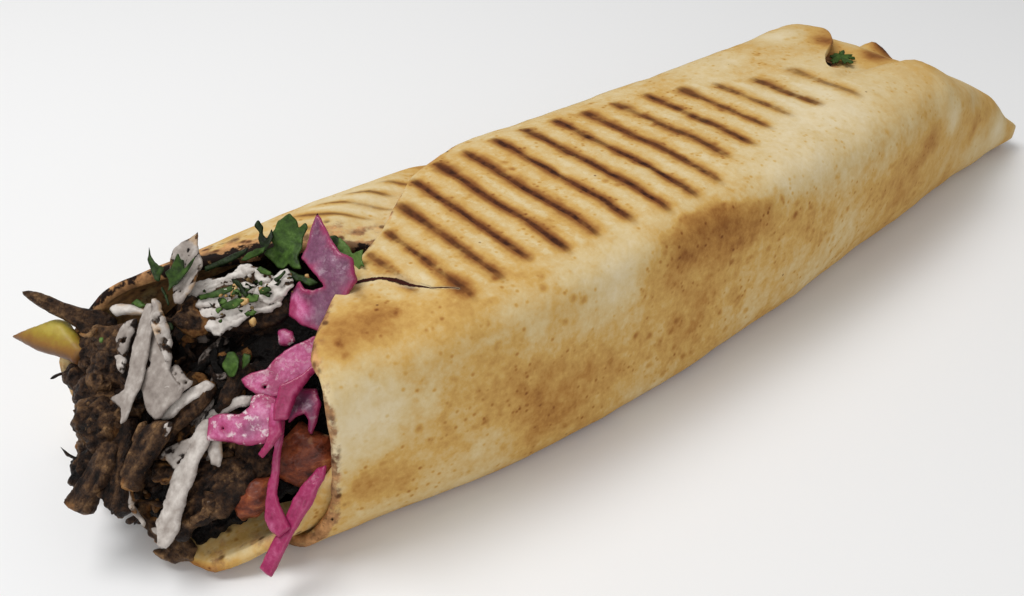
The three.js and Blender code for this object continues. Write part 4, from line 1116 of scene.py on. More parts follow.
def add_lump(meshes, at, radii, crumbly, seed, detail=5, tone=0.5, gold=0.0):
    """A crumbly lump with deep cracks and knobs."""
    points, faces = BALLS[detail]
    size = np.mean(radii)
    spot = points * size + seed * 11.3
    knobs = knobs_on(spot, 2.4, seed)
    swell = 1 + crumbly * (0.55 * fractal(spot, 4.0, 2, seed + 2) + 0.8 * knobs * min(1, 3 / size))
    placed = lifted(on_face(np.array(at) + points * np.array(radii) * swell[:, None]), 0.4)
    browned = gold * (0.5 + 1.2 * fractal(placed, 3.5, 2, 5 + seed))
    # Painted shade: darker in the hollows between the slices.
    meshes.add(placed, faces, tone=tone - 1.1 * hollow(*at[:2]), gold=np.clip(browned, 0, 1),
               relief=2.2 * knobs)


def heap_height(right, up):
    """How far out the bare heart of the filling reaches at a place on its face."""
    at, radii = HEART["at"], HEART["radii"]
    within = 1 - ((right - at[0]) / radii[0]) ** 2 - ((up - at[1]) / radii[1]) ** 2
    return at[2] + radii[2] * math.sqrt(within) if within > 0 else -1.0


def add_shred(meshes, through, width, thickness, roll, seed, tone, sauce=0.0, around=8):
    """A narrow fibre bundle along a path, flat, turned about its length by a fixed roll, and tapered at its
    ends.
    """
    path = on_face(np.array(through, float))
    length = np.linalg.norm(np.diff(path, axis=0), axis=1).sum()
    rows = max(6, int(length / 0.5))
    t = np.linspace(0, 1, rows)
    centre, along = spline(path, t)
    facing = OUT - along * (along @ OUT)[:, None]
    facing = turned(facing / np.linalg.norm(facing, axis=1)[:, None], along, roll)
    side = np.cross(along, facing)
    angle = np.linspace(0, 2 * np.pi, around, endpoint=False)
    spot = np.stack(np.broadcast_arrays((t * length)[:, None] * 0.8, np.cos(angle) * 2 + seed,
                                        np.sin(angle) * 2), -1)
    relief = fractal(spot, 1.6, 3, seed)
    taper = np.clip(np.minimum(t, 1 - t) * 6 + 0.35, 0, 1)
    swell = taper[:, None] * (1 + 0.5 * relief)
    across = side[:, None] * (np.cos(angle) * width / 2 * swell)[..., None]
    deep = facing[:, None] * (np.sin(angle) * thickness / 2 * swell)[..., None]
    points, faces = tube(lifted(centre[:, None] + across + deep, 0.4))
    # Painted shade: darker in the hollows between the slices.
    meshes.add(points, faces, sauce=sauce, tone=tone - 1.1 * hollow(*through[1][:2]),
               relief=np.concatenate([relief.ravel(), [0, 0]]))


def add_core(core):
    """The plain body of the filling inside the roll, painted dark as shade but for what shows at the mouth.
    """
    angles = np.linspace(0, TURN, HEART_SIDES, endpoint=False) + SEAM
    rings = []
    for x in HEART_STATIONS:
        inset = np.maximum(layer_inset(angles + TURN, x), LAYER_STEP) + BREAD + 1.0
        rings.append(skin(angles, x, np.minimum(inset, top_height(x) / 2 - 0.4)))
    rings = np.array(rings)
    # What would stand in front of the slanting face is drawn back onto it, deeper on the right.
    ahead = (rings - MOUTH) @ OUT + 5 + 10 * ease(4, 15, (rings - MOUTH) @ RIGHT)
    rings = rings - np.maximum(ahead, 0)[..., None] * OUT
    # Its front is crumbly.
    crumbly = np.maximum(0, 0.5 + 1.2 * fractal(rings, 3.5, 3, 6)) * (1 - ease(-10, 4, rings[..., 0]))
    middle = rings.mean(1, keepdims=True)
    rings = lifted(rings + (middle - rings) * (0.07 * crumbly)[..., None], 5.0)
    points, faces = tube(rings[:, ::-1])
    # Painted shade: the body is darker deeper in and towards the right, and lighter near the face at its
    # left.
    near = ease(-16, -9, (points - MOUTH) @ OUT) * (1 - ease(-2, 8, (points - MOUTH) @ RIGHT))
    core.add(points, faces, tone=-0.5 + 0.8 * near)


def add_heap(core):
    """The dark heap that the filling ends in at the mouth."""
    points, faces = BALLS[6]
    spot = points * 18
    knobs = knobs_on(spot, 3.0, 8)
    swell = 1 + 0.05 * fractal(spot, 6, 2, 3) + 0.09 * knobs
    heap = on_face(np.array(HEART["at"]) + points * np.array(HEART["radii"]) * swell[:, None])
    # Inside the roll it ends over the flatbread, and in front of it over the floor.
    core.add(lifted(heap, 0.4 + 4.6 * ease(-24, -17, heap[:, 0])), faces, relief=1.5 * knobs)


def strewn(rng, count):
    """Random places on the face, right and up, those that fall inside the strewn patch."""
    for k in range(count):
        right, up = rng.uniform(-27, 11), rng.uniform(-27, 9)
        if math.hypot(right - STREWN_AT[0], up - STREWN_AT[1]) <= STREWN_RADIUS:
            yield k, right, up


def add_loose_shreds(shreds, rng):
    for k, right, up in strewn(rng, SHREDS_TRIED):
        turn = math.radians(rng.normal(70, 45))
        step = np.array([math.cos(turn), math.sin(turn)]) * rng.uniform(1.2, 3.6)
        bend = np.array([-step[1], step[0]]) * rng.uniform(-0.25, 0.25)
        height = heap_height(right, up) + rng.uniform(0.0, 1.8)
        tip = rng.uniform(-0.8, 0.8)
        through = [(right - step[0], up - step[1], height - tip),
                   (right + bend[0], up + bend[1], height + 0.5),
                   (right + step[0], up + step[1], height + tip)]
        width, thickness, roll = rng.uniform(0.7, 2.2), rng.uniform(0.5, 1.1), rng.uniform(-50, 50)
        add_shred(shreds, through, width, thickness, roll, 100 + k,
                  tone=rng.uniform(-0.1, 0.8), sauce=rng.choice([0, 0, 0, 0, 0.6]))


def add_loose_crumbs(shreds, rng):
    for k, right, up in strewn(rng, CRUMBS_TRIED):
        at = (right, up, heap_height(right, up) + rng.uniform(0, 1.9))
        radii = rng.uniform(0.4, 1.4) * rng.uniform(0.7, 1.3, 3)
        add_lump(shreds, at, radii, 0.6, 400 + k, 3, tone=rng.uniform(0, 1.0), gold=rng.choice([0, 0, 0.9]))


def meat():
    material = meat_material()

    def piece(name, fill):
        meshes = Meshes(*MEAT_NUMBERS)
        fill(meshes)
        meshes.build(name, material, "meat", ["meat_filling"])

    def heart(core):
        add_core(core)
        add_heap(core)

    def slices(meshes):
        for k, shape in enumerate(DARK_SLICES + SAUCED_SLICES):
            add_flake(meshes, seed=k + 1, **shape)

    def strips(meshes):
        for k, shape in enumerate(HERBED_STRIPS):
            add_flake(meshes, seed=k + 80, **{**HERBED_STRIP, **shape})

    def lumps(meshes):
        for k, shape in enumerate(LUMPS):
            add_lump(meshes, crumbly=0.42, seed=k + 40, **shape)

    def shreds(meshes):
        rng = np.random.default_rng(5)
        add_loose_shreds(meshes, rng)
        add_loose_crumbs(meshes, rng)
        for k, path in enumerate(LOOSE_FIBRES):
            add_shred(meshes, path, 0.55, 0.5, 0, 700 + k, tone=0.1)

    piece("filling_heart", heart)
    piece("meat_slices", slices)
    piece("herbed_slice", strips)
    piece("meat_lumps", lumps)
    piece("meat_shreds", shreds)


def meat_material():
    look = Look("meat", Specular_IOR_Level=0.22)
    tone, gold, relief = look.number("tone"), look.number("gold"), look.number("relief")
    crust, fine, blotch = look.noise(1.3, 5, 0.72), look.noise(0.6, 3, 0.7), look.noise(3.6, 4, 0.6)
    # Knobs are lighter and cracks darker by their relief: painted shade in the cracks.
    amount = look.total(look.times(tone, 0.45), 0.245, look.about(crust, 0.85), look.about(fine, 0.45),
                        look.about(blotch, 0.55), look.times(relief, 0.22))
    bare = look.ramp(amount, (0.14, 8, 4, 2), (0.32, 34, 20, 12), (0.50, 68, 46, 29), (0.68, 104, 76, 50),
                     (0.92, 166, 128, 86))
    flecks = look.times(look.patches(0.60, 0.68, 0.9, 3, 0.7), look.patches(0.50, 0.60, 5, 2, 0.5), 0.6,
                        look.step(0.0, 0.5, tone))
    bare = look.mix(flecks, bare, (140, 106, 70))
    golden = look.times(look.step(0.30, 0.62, look.total(gold, look.sway(2.2, 4, 0.6, 0.9))),
                        look.step(0.02, 0.15, gold))
    bare = look.mix(look.times(golden, 0.75), bare,
                    look.ramp(crust, (0.35, 108, 62, 28), (0.65, 186, 134, 76)))
    sauce = look.step(0.46, 0.62, look.total(look.number("sauce"), look.sway(1.5, 5, 0.65, 0.9)))
    # The sauce is darker on slices of low tone and in low relief: partly painted shade.
    mottle = look.total(look.times(tone, 0.34), look.sway(2.4, 4, 0.6, 0.55), look.sway(0.7, 2, 0.5, 0.12),
                        look.times(relief, 0.05), 0.28)
    white = look.ramp(mottle, (0.20, 106, 95, 88), (0.42, 158, 148, 140), (0.60, 206, 198, 190),
                      (0.80, 232, 226, 218))
    white = look.mix(look.times(golden, 0.5), white, (190, 152, 104))
    # The sauce smooths the meat's crust over and stands a little above it.
    height = look.times(look.total(crust, look.times(fine, 0.35)), look.step(0.0, 1.0, sauce, (1.0, 0.12)))
    normal = look.bump(look.total(height, look.times(sauce, 0.4)), 1.1, 1.0)
    return look.finish(look.mix(sauce, bare, white), look.step(0.0, 1.0, sauce, (0.46, 0.36)), normal)


# ---------------------------------------------------------------- the toppings
# Each strip or leaf of red cabbage, how purple, rather than pink, it is, how speckled with sauce, and right,
# up and spread of a pinker place on it.
CABBAGE = [
    dict(rosy=(10.5, 15.0, 4.5), outline=[(8.9, 33.2), (11.6, 31.0), (14.7, 28.8), (17.3, 27.0),
         (19.6, 26.8), (21.4, 23.2), (20.7, 20.2), (19.9, 17.8), (20.1, 15.4), (19.6, 13.1), (16.6, 13.4),
         (14.1, 13.5), (11.1, 14.4), (10.0, 18.4), (11.2, 20.6), (13.1, 19.3), (14.8, 19.5), (16.4, 20.7),
         (14.4, 22.1), (11.4, 23.5), (9.2, 24.6), (9.2, 27.7), (8.7, 30.6)], out=7.6, tilt=(0.05, 0.04),
         dome=1.2, curl=0.35, crease=(14.8, 21.0, 62, -0.16), purple=1.0, speckled=0.08),
    dict(outline=[(8.8, 11.7), (10.0, 12.4), (11.7, 12.2), (12.8, 10.7), (11.8, 9.6), (10.0, 9.2)], out=5.0,
         dome=0.3, purple=0.5, speckled=0.8),
    dict(outline=[(19.9, 13.2), (16.8, 12.4), (15.2, 10.4), (14.0, 8.7), (12.8, 6.8), (12.0, 4.7),
         (9.8, 3.1), (8.6, 1.7), (9.8, 0.7), (12.0, 0.2), (14.6, 0.2), (17.2, 2.0), (18.3, 4.0),
         (20.3, 8.3)], holes=[[(12.6, 1.9), (13.2, 2.0), (13.1, 1.4), (12.6, 1.4)]], out=7.8,
         tilt=(-0.3, -0.1), dome=0.8, curl=0.3, purple=0.16, speckled=0.4),
    dict(outline=[(22.0, 10.7), (23.4, 9.9), (23.1, 8.9), (21.9, 7.4), (21.0, 6.0), (20.6, 4.4),
         (20.0, 1.7), (19.9, -2.1), (18.0, -3.0), (17.2, -0.5), (16.9, 2.7), (18.5, 4.4), (19.5, 5.6),
         (20.2, 7.1), (21.1, 9.3)], out=10.4, tilt=(-0.5, -0.05), dome=0.4, purple=-0.25, speckled=0.0),
    dict(outline=[(12.2, -0.3), (13.2, 0.7), (15.8, 0.6), (17.4, -0.4), (17.6, -2.6), (17.3, -5.2),
         (16.3, -6.9), (14.0, -8.2), (11.5, -8.4), (7.0, -9.4), (6.0, -5.9), (8.1, -4.6), (11.2, -3.8),
         (12.3, -2.1)], holes=[[(9.0, -6.6), (9.5, -6.5), (9.5, -7.0), (9.0, -7.0)]], out=9.8,
         tilt=(-0.25, 0.1), dome=0.8, curl=0.3, purple=0.25, speckled=1.0),
    dict(outline=[(15.8, -0.4), (17.4, 0.2), (18.8, -2.4), (19.6, -4.3), (18.9, -6.8), (17.7, -9.3),
         (16.5, -8.9), (17.2, -7.0), (17.4, -5.2), (16.6, -3.1)], out=10.4, tilt=(0.0, 0.05), dome=0.5,
         purple=0.2, speckled=0.1),
    dict(outline=[(16.0, 3.2), (17.7, 3.9), (19.4, 4.3), (21.2, 1.9), (21.4, 0.6), (21.6, -1.3),
         (21.6, -3.3), (20.5, -3.0), (20.2, -1.3), (19.1, -0.4), (17.9, -1.2), (16.6, -2.7), (15.8, -0.9)],
         out=4.2, dome=0.6, curl=0.2, purple=0.85, speckled=0.2),
    dict(outline=[(16.5, -2.3), (18.2, -2.3), (19.0, -5.2), (19.4, -8.1), (20.0, -10.7), (20.6, -13.7),
         (21.8, -15.5), (24.6, -18.3), (23.1, -20.5), (21.2, -20.0), (19.6, -18.4), (18.8, -15.3),
         (18.5, -11.6), (17.9, -7.9), (17.4, -5.5)], out=7.4, tilt=(0.0, 0.16), dome=0.3, purple=0.05,
         speckled=0.05),
    dict(outline=[(25.2, -8.0), (26.8, -7.0), (27.3, -9.1), (26.8, -11.1), (26.5, -13.8), (25.8, -15.9),
         (25.0, -18.9), (24.3, -23.1), (23.4, -26.9), (20.8, -26.2), (21.5, -22.1), (22.4, -18.3),
         (23.0, -13.9), (23.9, -11.2)], out=5.2, tilt=(0.0, 0.08), dome=0.5, purple=-0.1, speckled=0.0),
]
CABBAGE_NODES = [1, 2, 3, 4, 5, 5, 6, 7, 8]  # the solid that each of them stands for
CABBAGE_LEAF = dict(thickness=0.9, ragged=0.16, rough=0.05, lumpy=0.35, spacing=0.28, stretch=3, grain=70,
                    sheet=True)


def cabbage_leaf(k, purple, speckled, rosy=None, **shape):
    leaf = Meshes("purple", "speckled", "edge")
    points, faces, away, _ = flake(seed=200 + k, **CABBAGE_LEAF, **shape)
    tint = purple + 0.35 * fractal(points, 7, 2, 9 + k)
    if rosy:
        *place, spread = rosy
        tint -= 1.1 * around_place(points, *place, shape["out"], spread)
    leaf.add(points, faces, purple=tint, speckled=speckled, edge=np.exp(-away / 1.4))
    return leaf


def cabbage():
    material = cabbage_material()
    for k, (piece, node) in enumerate(zip(CABBAGE, CABBAGE_NODES)):
        cabbage_leaf(k, **piece).build(f"cabbage_{k + 1}", material, "red_cabbage", [f"red_cabbage_{node}"])


def cabbage_material():
    look = Look("cabbage", Roughness=0.32, Specular_IOR_Level=0.45, Subsurface_Weight=0.1,
                Subsurface_Scale=0.002, Subsurface_Radius=(1.0, 0.3, 0.6))
    veins, fine = look.noise(2.4, 4, 0.65), look.noise(0.8, 3, 0.7)
    shade = look.total(look.times(veins, 0.6), look.times(fine, 0.4))
    deep = look.ramp(shade, (0.34, 118, 22, 62), (0.50, 152, 42, 88), (0.68, 178, 84, 122))
    pink = look.ramp(shade, (0.34, 158, 48, 98), (0.50, 190, 92, 138), (0.68, 216, 150, 182))
    pink = look.mix(look.step(0.0, 0.22, look.number("purple")), deep, pink)
    purple = look.ramp(shade, (0.34, 96, 48, 74), (0.50, 116, 66, 94), (0.68, 138, 88, 116))
    mixed = look.step(0.3, 0.85, look.total(look.number("purple"), look.sway(5, 2, 0.5, 0.5)))
    color = look.mix(mixed, pink, purple)
    margin = look.step(0.35, 0.95, look.total(look.number("edge"), look.sway(4, 3, 0.6, 1.0)))
    color = look.mix(look.times(margin, 0.85), color, (152, 36, 84))
    # White specks of sauce, and a few dark ones.
    flecks = look.times(look.patches(0.50, 0.62, 1.5, 4, 0.7), look.patches(0.42, 0.52, 4, 2, 0.5),
                        look.number("speckled"))
    color = look.mix(flecks, color, (222, 200, 204))
    color = look.mix(look.times(look.speckles(6, 0.22, 0.1), 0.6), color, (86, 20, 34))
    return look.finish(color, normal=look.bump(look.total(veins, look.times(fine, 0.4)), 0.3, 0.6))


# Each leaf of parsley: outline, place, fold, how light it is, and the solid it stands for, if any.
PARSLEY = [
    dict(outline=[(1.8, 26.8), (2.6, 28.3), (2.7, 29.6), (3.6, 30.8), (4.5, 31.6), (5.8, 30.8), (6.4, 29.7),
         (7.4, 30.9), (8.2, 30.2), (7.9, 28.2), (8.6, 26.2), (8.5, 24.7), (10.4, 22.7), (8.6, 22.3),
         (7.0, 23.0), (6.3, 22.0), (4.9, 22.0), (3.2, 22.8), (1.6, 23.6), (2.0, 24.7), (3.1, 25.4)],
         out=6.2, crease=(5.4, 26.0, 62, 0.30), tilt=(-0.06, 0.1), light=0.62, node=1),
    dict(outline=[(-0.5, 28.9), (0.7, 27.9), (0.9, 26.8), (1.7, 26.3), (2.0, 28.2), (3.1, 26.9),
         (3.2, 25.6), (2.7, 23.9), (1.3, 24.2), (0.4, 25.7), (0.3, 26.9), (-0.8, 27.6)], out=7.4,
         crease=(1.6, 25.5, 80, 0.5), light=0.08, node=2),
    dict(outline=[(-1.9, 21.3), (-1.0, 22.9), (0.5, 24.0), (2.4, 24.8), (2.4, 23.6), (0.7, 22.7),
         (-0.8, 21.6)], out=7.4, crease=(0.2, 22.8, 40, 0.4), light=0.6, node=2),
    dict(outline=[(-9.0, 18.6), (-5.4, 21.6), (-2.0, 24.0), (-1.6, 23.2), (-4.8, 20.4), (-8.4, 17.8)],
         out=6.4, light=0.15, node=None),
    dict(outline=[(-16.7, 18.5), (-15.6, 17.2), (-14.5, 16.3), (-13.4, 15.8), (-11.5, 15.7), (-11.3, 15.1),
         (-12.2, 14.4), (-12.1, 13.2), (-12.9, 13.2), (-14.3, 14.4), (-15.3, 15.5), (-16.0, 16.2)],
         out=12.9, tilt=(0.1, 0.1), crease=(-14.0, 15.4, -38, 0.35), light=0.35, node=3),
    dict(outline=[(-9.6, 18.6), (-8.8, 17.7), (-8.3, 17.9), (-7.9, 16.5), (-7.3, 17.4), (-5.6, 19.6),
         (-6.0, 17.8), (-6.6, 16.2), (-7.4, 14.8), (-7.8, 13.5), (-8.7, 13.1), (-9.4, 11.8), (-10.0, 12.8),
         (-10.4, 14.0), (-11.1, 14.9), (-10.2, 16.0), (-10.0, 17.4)], out=13.0, tilt=(0.1, 0.1),
         crease=(-8.8, 15.2, 62, 0.4), light=0.45, node=3),
    dict(outline=[(-11.3, 12.6), (-9.6, 11.2), (-8.4, 10.0), (-8.6, 9.5), (-10.0, 10.7), (-11.3, 12.0)],
         out=12.6, light=0.3, node=3),
    dict(outline=[(12.6, 30.6), (13.6, 30.2), (15.0, 29.4), (16.0, 28.4), (17.1, 28.9), (18.3, 29.4),
         (18.6, 27.9), (19.8, 26.5), (18.8, 26.6), (18.9, 25.2), (18.3, 23.9), (17.8, 21.6), (16.6, 22.6),
         (15.2, 25.2), (13.2, 28.0)], out=2.8, crease=(16.4, 26.6, -60, 0.35), light=1.0, node=4),
    dict(outline=[(10.2, 30.4), (11.4, 31.0), (13.0, 30.0), (12.7, 28.8), (11.2, 29.4)], out=2.4,
         light=0.45, node=4),
    dict(outline=[(7.6, 22.1), (10.2, 21.8), (11.7, 21.9), (14.3, 21.3), (12.8, 20.2), (10.9, 20.6),
         (9.7, 20.4), (8.6, 21.1)], out=7.0, crease=(11, 21.2, -6, 0.3), light=0.3, node=1),
    dict(outline=[(5.1, 5.2), (6.1, 5.7), (7.1, 4.7), (8.0, 3.4), (7.8, 1.8), (6.3, 1.4), (5.1, 2.2),
         (4.6, 3.0), (5.0, 4.0)], out=10.4, crease=(6.6, 3.2, 70, 0.5), light=0.62, node=5),
    dict(outline=[(7.5, 6.0), (8.9, 6.0), (9.3, 5.0), (8.9, 4.0), (8.2, 3.2), (7.6, 4.7)], out=10.2,
         crease=(8.2, 4.6, 80, 0.5), light=0.5, node=5),
    dict(outline=[(-7.9, 6.3), (-6.0, 7.1), (-5.1, 6.1), (-6.3, 4.7), (-7.3, 5.1)], out=13.6, light=0.25,
         node=None),
    dict(outline=[(-18.2, 8.2), (-17.1, 9.4), (-14.7, 8.8), (-15.6, 8.0)], out=10.0, light=0.75, node=None),
    dict(outline=[(-20.4, 0.9), (-19.4, 1.2), (-19.2, 0.3), (-20.0, 0.1)], out=11.6, light=1.0, node=None),
]
PARSLEY_NUMBERS = ("edge", "light", "relief")
LEAF = dict(thickness=0.35, ragged=0.14, rough=0.03, lumpy=0.5, spacing=0.24, sheet=True)
# The lobed leaf in the notch at the far end, in roll coordinates, and turn and length of each of its lobes.
FAR_LEAF = dict(centre=(179, 25.2, 36.8), size=4.7, facing=(-0.1, -0.15, 1), turn=200, curl=0.10)
FAR_LEAF_NODE, FAR_LEAF_LIGHT = 6, 0.6
LOBES = [(0, 1.0), (64, 0.86), (-64, 0.86), (122, 0.55), (-122, 0.55)]
# Bits of chopped parsley, and tan crumbs, over the herbed slice, and how they lie on it.
CHOPPED = [
    [(-5.3, 13.1), (-2.3, 14.7), (0.5, 16.6), (1.1, 15.8), (-1.1, 13.9), (-4.7, 12.3)],
    [(-0.2, 17.3), (1.6, 16.4), (3.8, 14.9), (4.3, 15.6), (1.5, 17.4)],
    [(-1.5, 13.4), (-0.4, 12.2), (0.7, 13.1), (-0.6, 13.9)],
    [(-0.5, 12.3), (0.9, 13.4), (2.5, 14.6), (3.9, 14.6), (2.6, 12.7), (1.1, 11.9)],
    [(3.5, 15.4), (6.0, 16.1), (5.9, 15.0), (4.3, 14.3)],
    [(5.4, 16.9), (7.5, 17.9), (8.3, 17.4), (6.3, 16.1)],
    [(7.9, 18.3), (9.3, 19.5), (9.2, 18.3)],
    [(7.8, 19.3), (9.1, 21.4), (9.5, 21.1), (8.5, 19.0)],
    [(5.1, 12.1), (6.0, 13.6), (7.0, 13.3), (6.3, 12.1)],
    [(3.6, 20.1), (4.2, 20.9), (7.0, 20.4), (7.8, 19.9), (5.0, 19.7)],
]
CRUMBS = [
    [(0.2, 16.6), (1.3, 17.0), (1.5, 15.6), (1.4, 13.8), (0.8, 13.8)],
    [(1.8, 18.2), (3.1, 18.5), (4.2, 18.1), (3.6, 17.3)],
    [(5.0, 17.3), (6.2, 17.6), (7.4, 17.1), (6.4, 16.4)],
    [(5.9, 11.4), (6.8, 12.2), (7.5, 11.6), (6.8, 10.8)],
    [(3.0, 14.4), (4.4, 15.0), (4.8, 14.4), (3.6, 13.6)],
]
CHOPPED_BIT = dict(out=10.2, tilt=(-0.04, 0.1), thickness=0.25, ragged=0.3, rough=0.05, lumpy=0.4,
                   spacing=0.24, sheet=True)
CRUMB = dict(out=10.1, tilt=(-0.04, 0.1), thickness=0.7, ragged=0.5, rough=0.25, stretch=1.5, lumpy=0.3,
             spacing=0.24)
BITS_STREWN, CRUMBS_STREWN = 34, 22
HERBS_AT = np.array([3.0, 15.4])  # right and up of the middle of the strewn bits
HERBS_SPREAD = [[4.2, 2.1], [-0.7, 1.5]]  # how far they are strewn along the slice and across it


def lobed_leaf(centre, size, facing, turn, curl, around=200, rings=9, thickness=0.3):
    """Vertices and faces of a lobed, toothed leaf, a thin wavy sheet."""
    up = np.array(facing, float)
    up /= np.linalg.norm(up)
    ahead = np.array([0.0, 0.0, 1.0]) - up[2] * up
    ahead = turned((ahead / np.linalg.norm(ahead))[None], up[None], turn)[0]
    side = np.cross(up, ahead)
    angle = np.linspace(-180, 180, around, endpoint=False)
    reach = np.full(around, 0.16)
    for k, (at, length) in enumerate(LOBES):
        off = np.abs((angle - at + 180) % 360 - 180) / 40
        teeth = 1 - 0.22 * np.abs(np.sin(off * 5.2 + 0.4 + 0.5 * k)) * (off > 0.14)
        reach = np.maximum(reach, length * np.clip(1 - off ** 2.4, 0, 1) ** 0.6 * teeth)
    share = np.linspace(0, 1, rings)[1:, None]
    a = np.radians(angle)
    r = share * reach * size
    height = size * (curl * (share ** 2 * np.cos(2 * a + 0.6) - 0.4 * share) + 0.05 * share * np.cos(9 * a))
    flat = centre + ahead * (r * np.cos(a))[..., None] + side * (r * np.sin(a))[..., None]
    flat = flat + up * height[..., None]
    top, bottom = flat + up * thickness / 2, flat - up * thickness / 2
    return tube(np.concatenate([top, bottom[::-1]]))


def herb_bit(rng, size, seed, thickness=0.25, ragged=0.15):
    """A small torn bit at a random place on the herbed slice."""
    place = HERBS_AT + rng.normal(0, 1, 2) @ HERBS_SPREAD
    angles = np.sort(rng.uniform(0, 2 * np.pi, 6))
    lengths = size * rng.uniform(0.6, 1.6, 6)
    outline = place + np.stack([np.cos(angles), 0.7 * np.sin(angles)], -1) * lengths[:, None]
    return flake(outline, out=10.3 + (place - HERBS_AT) @ (-0.04, 0.1), thickness=thickness,
                 ragged=ragged, rough=0.05, spacing=0.22, seed=seed, sheet=True)


def add_green(sprig, piece, light, margin=0.5):
    """A flake of parsley, darker within a margin along its edge."""
    points, faces, away, relief = piece
    sprig.add(points, faces, edge=np.exp(-away / margin), light=light, relief=relief)


def parsley():
    sprigs = {}
    for k, leaf in enumerate(PARSLEY):
        light, node = leaf["light"], leaf["node"]
        shape = {name: value for name, value in leaf.items() if name not in ("light", "node")}
        sprig = sprigs.setdefault(node, Meshes(*PARSLEY_NUMBERS))
        add_green(sprig, flake(seed=500 + k, **LEAF, **shape), light)
    sprigs[FAR_LEAF_NODE] = Meshes(*PARSLEY_NUMBERS)
    sprigs[FAR_LEAF_NODE].add(*lobed_leaf(**FAR_LEAF), light=FAR_LEAF_LIGHT)

    rng = np.random.default_rng(12)
    chopped = sprigs[None]
    for k, outline in enumerate(CHOPPED):
        add_green(chopped, flake(outline, seed=600 + k, **CHOPPED_BIT), 0.45 + 0.4 * math.sin(5 * k))
    for k in range(BITS_STREWN):
        light = rng.uniform(0.2, 1.0)
        add_green(chopped, herb_bit(rng, rng.uniform(0.35, 0.8), 700 + k), light, margin=0.3)
    material = parsley_material()
    for node, sprig in sprigs.items():
        if node:
            sprig.build(f"parsley_leaf_{node}", material, "parsley", [f"parsley_{node}"])
        else:
            sprig.build("chopped_parsley", material, "parsley")
    crumbs(rng)


def crumbs(rng):
    tan = Meshes()
    for k, outline in enumerate(CRUMBS):
        tan.add(*flake(outline, seed=650 + k, **CRUMB)[:2])
    for k in range(CRUMBS_STREWN):
        tan.add(*herb_bit(rng, rng.uniform(0.3, 0.55), 750 + k, thickness=0.7, ragged=0.2)[:2])
    look = Look("crumbs", Roughness=0.5)
    color = look.ramp(look.noise(1.4, 4, 0.6), (0.3, 132, 90, 40), (0.5, 190, 152, 92), (0.7, 216, 188, 136))
    tan.build("tan_crumbs", look.finish(color), "meat", ["meat_filling"])


def parsley_material():
    look = Look("parsley", Roughness=0.5, Specular_IOR_Level=0.2)
    # Leaves are a little lighter where their fine relief stands higher: painted shade in the dips.
    tint = look.total(look.sway(1.6, 3, 0.6, 0.7), look.times(look.number("light"), 0.55),
                      look.times(look.number("relief"), 0.06), 0.22)
    color = look.ramp(tint, (0.18, 10, 16, 5), (0.40, 34, 52, 17), (0.60, 62, 90, 32), (0.82, 104, 134, 66))
    color = look.mix(look.times(look.number("edge"), 0.3), color, (24, 36, 12))
    return look.finish(color, normal=look.bump(look.noise(0.8, 3, 0.6), 0.25, 0.7))


# Each chunk of tomato: outline and place.
TOMATO = [
    dict(outline=[(17.4, -1.6), (20.2, -2.6), (23.5, -2.2), (26.0, -5.8), (26.2, -7.4), (24.0, -10.6),
         (20.9, -12.3), (18.6, -12.1), (15.8, -11.6), (14.4, -8.9), (15.6, -6.3), (16.4, -4.3)], out=1.4,
         tilt=(-0.1, 0.05), dome=2.2, thickness=3.4),
    dict(outline=[(11.3, -18.7), (11.3, -16.0), (12.6, -13.9), (14.6, -12.5), (16.9, -11.4), (17.6, -15.1),
         (17.8, -16.9), (16.2, -18.9), (13.6, -20.4)], out=2.4, tilt=(-0.1, 0.05), dome=1.6, thickness=3.0),
]


def tomato():
    look = Look("tomato", Roughness=0.34, Specular_IOR_Level=0.25)
    flesh = look.noise(2.6, 5, 0.65, stretch=(0.7, 1.0, 1.6))
    color = look.ramp(flesh, (0.30, 52, 20, 11), (0.46, 98, 44, 27), (0.60, 132, 66, 38),
                      (0.76, 172, 112, 66))
    seeds = look.times(look.speckles(4.5, 0.7, 0.3), look.patches(0.5, 0.6, 6, 2, 0.5), 0.6)
    color = look.mix(seeds, color, (176, 132, 92))
    material = look.finish(color, normal=look.bump(flesh, 0.7, 0.8))
    for k, piece in enumerate(TOMATO):
        chunk = Meshes()
        chunk.add(*flake(seed=320 + k, ragged=0.3, rough=0.12, stretch=1.5, lumpy=0.6, **piece)[:2])
        chunk.build(f"tomato_chunk_{k + 1}", material, "tomato", [f"tomato_{k + 1}"])


# What shows of the pepper: outline and place.
PEPPER = dict(outline=[(-42.4, -3.9), (-39.0, -1.7), (-35.7, 0.5), (-33.9, 1.8), (-31.6, 2.0), (-29.2, 0.6),
                       (-26.0, -1.2), (-24.8, -1.9), (-26.1, -4.9), (-28.2, -4.6), (-30.9, -4.6),
                       (-35.6, -4.8)],
              out=7.4, thickness=3.2, ragged=0.06, rough=0.02, lumpy=0.15, dome=0.6)


def pepper():
    look = Look("pickled_pepper", Roughness=0.46, Specular_IOR_Level=0.3, Subsurface_Weight=0.08,
                Subsurface_Scale=0.003)
    # Yellower towards its upper edge.
    ripe = look.total(look.step(23.6 * MM, 29.0 * MM, look.coordinate("Z")), look.sway(1.6, 3, 0.6, 0.5))
    color = look.ramp(ripe, (0.05, 104, 66, 32), (0.4, 138, 98, 44), (0.75, 156, 132, 44),
                      (1.0, 176, 158, 66))
    material = look.finish(color, normal=look.bump(look.noise(2.0, 3, 0.5), 0.15, 0.5))
    tip = Meshes()
    tip.add(*flake(seed=300, **PEPPER)[:2])
    tip.build("pickled_pepper_tip", material, "pickled_pepper", ["pickled_pepper"])


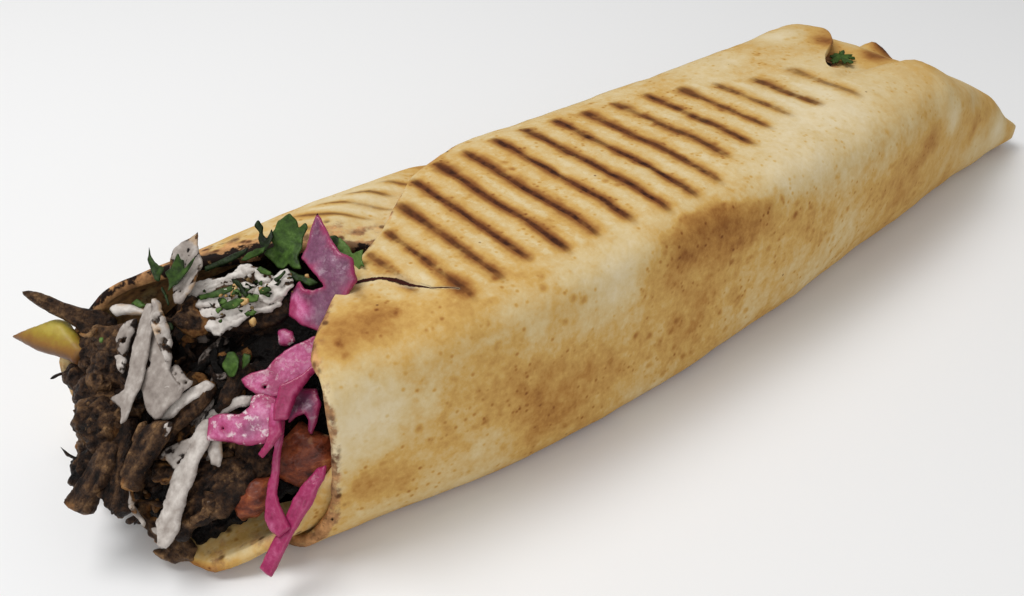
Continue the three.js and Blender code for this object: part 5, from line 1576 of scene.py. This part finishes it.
# ---------------------------------------------------------------- floor, light and camera
# In metres and degrees, in the frame of the solids.
FLOOR_SIDE = 4
SKY_LIGHT = 0.36
LAMPS = {  # place, side and power
    "key": ((-0.30, 0.22, 0.80), 0.45, 4.9),
    "fill": ((-0.55, -0.55, 0.45), 0.6, 1.9),
}
EYE = (-0.15849, -0.13752, 0.140)
AZIMUTH, ELEVATION = math.radians(-39.3), math.radians(35.2)
PICTURE_WIDTH, FOCAL_LENGTH = 1024, 1035  # in pixels
SENSOR = 36.0  # in millimetres


def add_to_scene(name, data):
    thing = bpy.data.objects.new(name, data)
    bpy.context.scene.collection.objects.link(thing)
    return thing


def studio():
    bpy.ops.mesh.primitive_plane_add(size=FLOOR_SIDE)
    floor = bpy.context.object
    floor.name = "floor"
    look = Look("floor", Roughness=0.9, Specular_IOR_Level=0.1)
    floor.data.materials.append(look.finish((0.86, 0.86, 0.86)))

    world = bpy.data.worlds.new("studio")
    world.use_nodes = True
    background = world.node_tree.nodes["Background"].inputs
    background["Color"].default_value = (1, 1, 1, 1)
    background["Strength"].default_value = SKY_LIGHT
    bpy.context.scene.world = world
    for name, (place, side, power) in LAMPS.items():
        data = bpy.data.lights.new(name, "AREA")
        data.shape, data.size, data.energy = "SQUARE", side, power
        lamp = add_to_scene(name, data)
        lamp.location = place
        lamp.rotation_euler = (-Vector(place)).to_track_quat("-Z", "Y").to_euler()


def camera():
    data = bpy.data.cameras.new("camera")
    data.sensor_width = SENSOR
    data.lens = FOCAL_LENGTH / PICTURE_WIDTH * SENSOR
    data.clip_start = 0.01
    right = Vector((math.cos(AZIMUTH), math.sin(AZIMUTH), 0))
    ahead = Vector((-math.sin(AZIMUTH) * math.cos(ELEVATION), math.cos(AZIMUTH) * math.cos(ELEVATION),
                    -math.sin(ELEVATION)))
    turn = Matrix((right, right.cross(ahead), -ahead)).transposed().to_4x4()
    view = add_to_scene("camera", data)
    view.matrix_world = Matrix.Translation(EYE) @ turn
    bpy.context.scene.camera = view


flatbread()
meat()
cabbage()
parsley()
tomato()
pepper()
studio()
camera()
bpy.context.scene.view_settings.view_transform = "Standard"
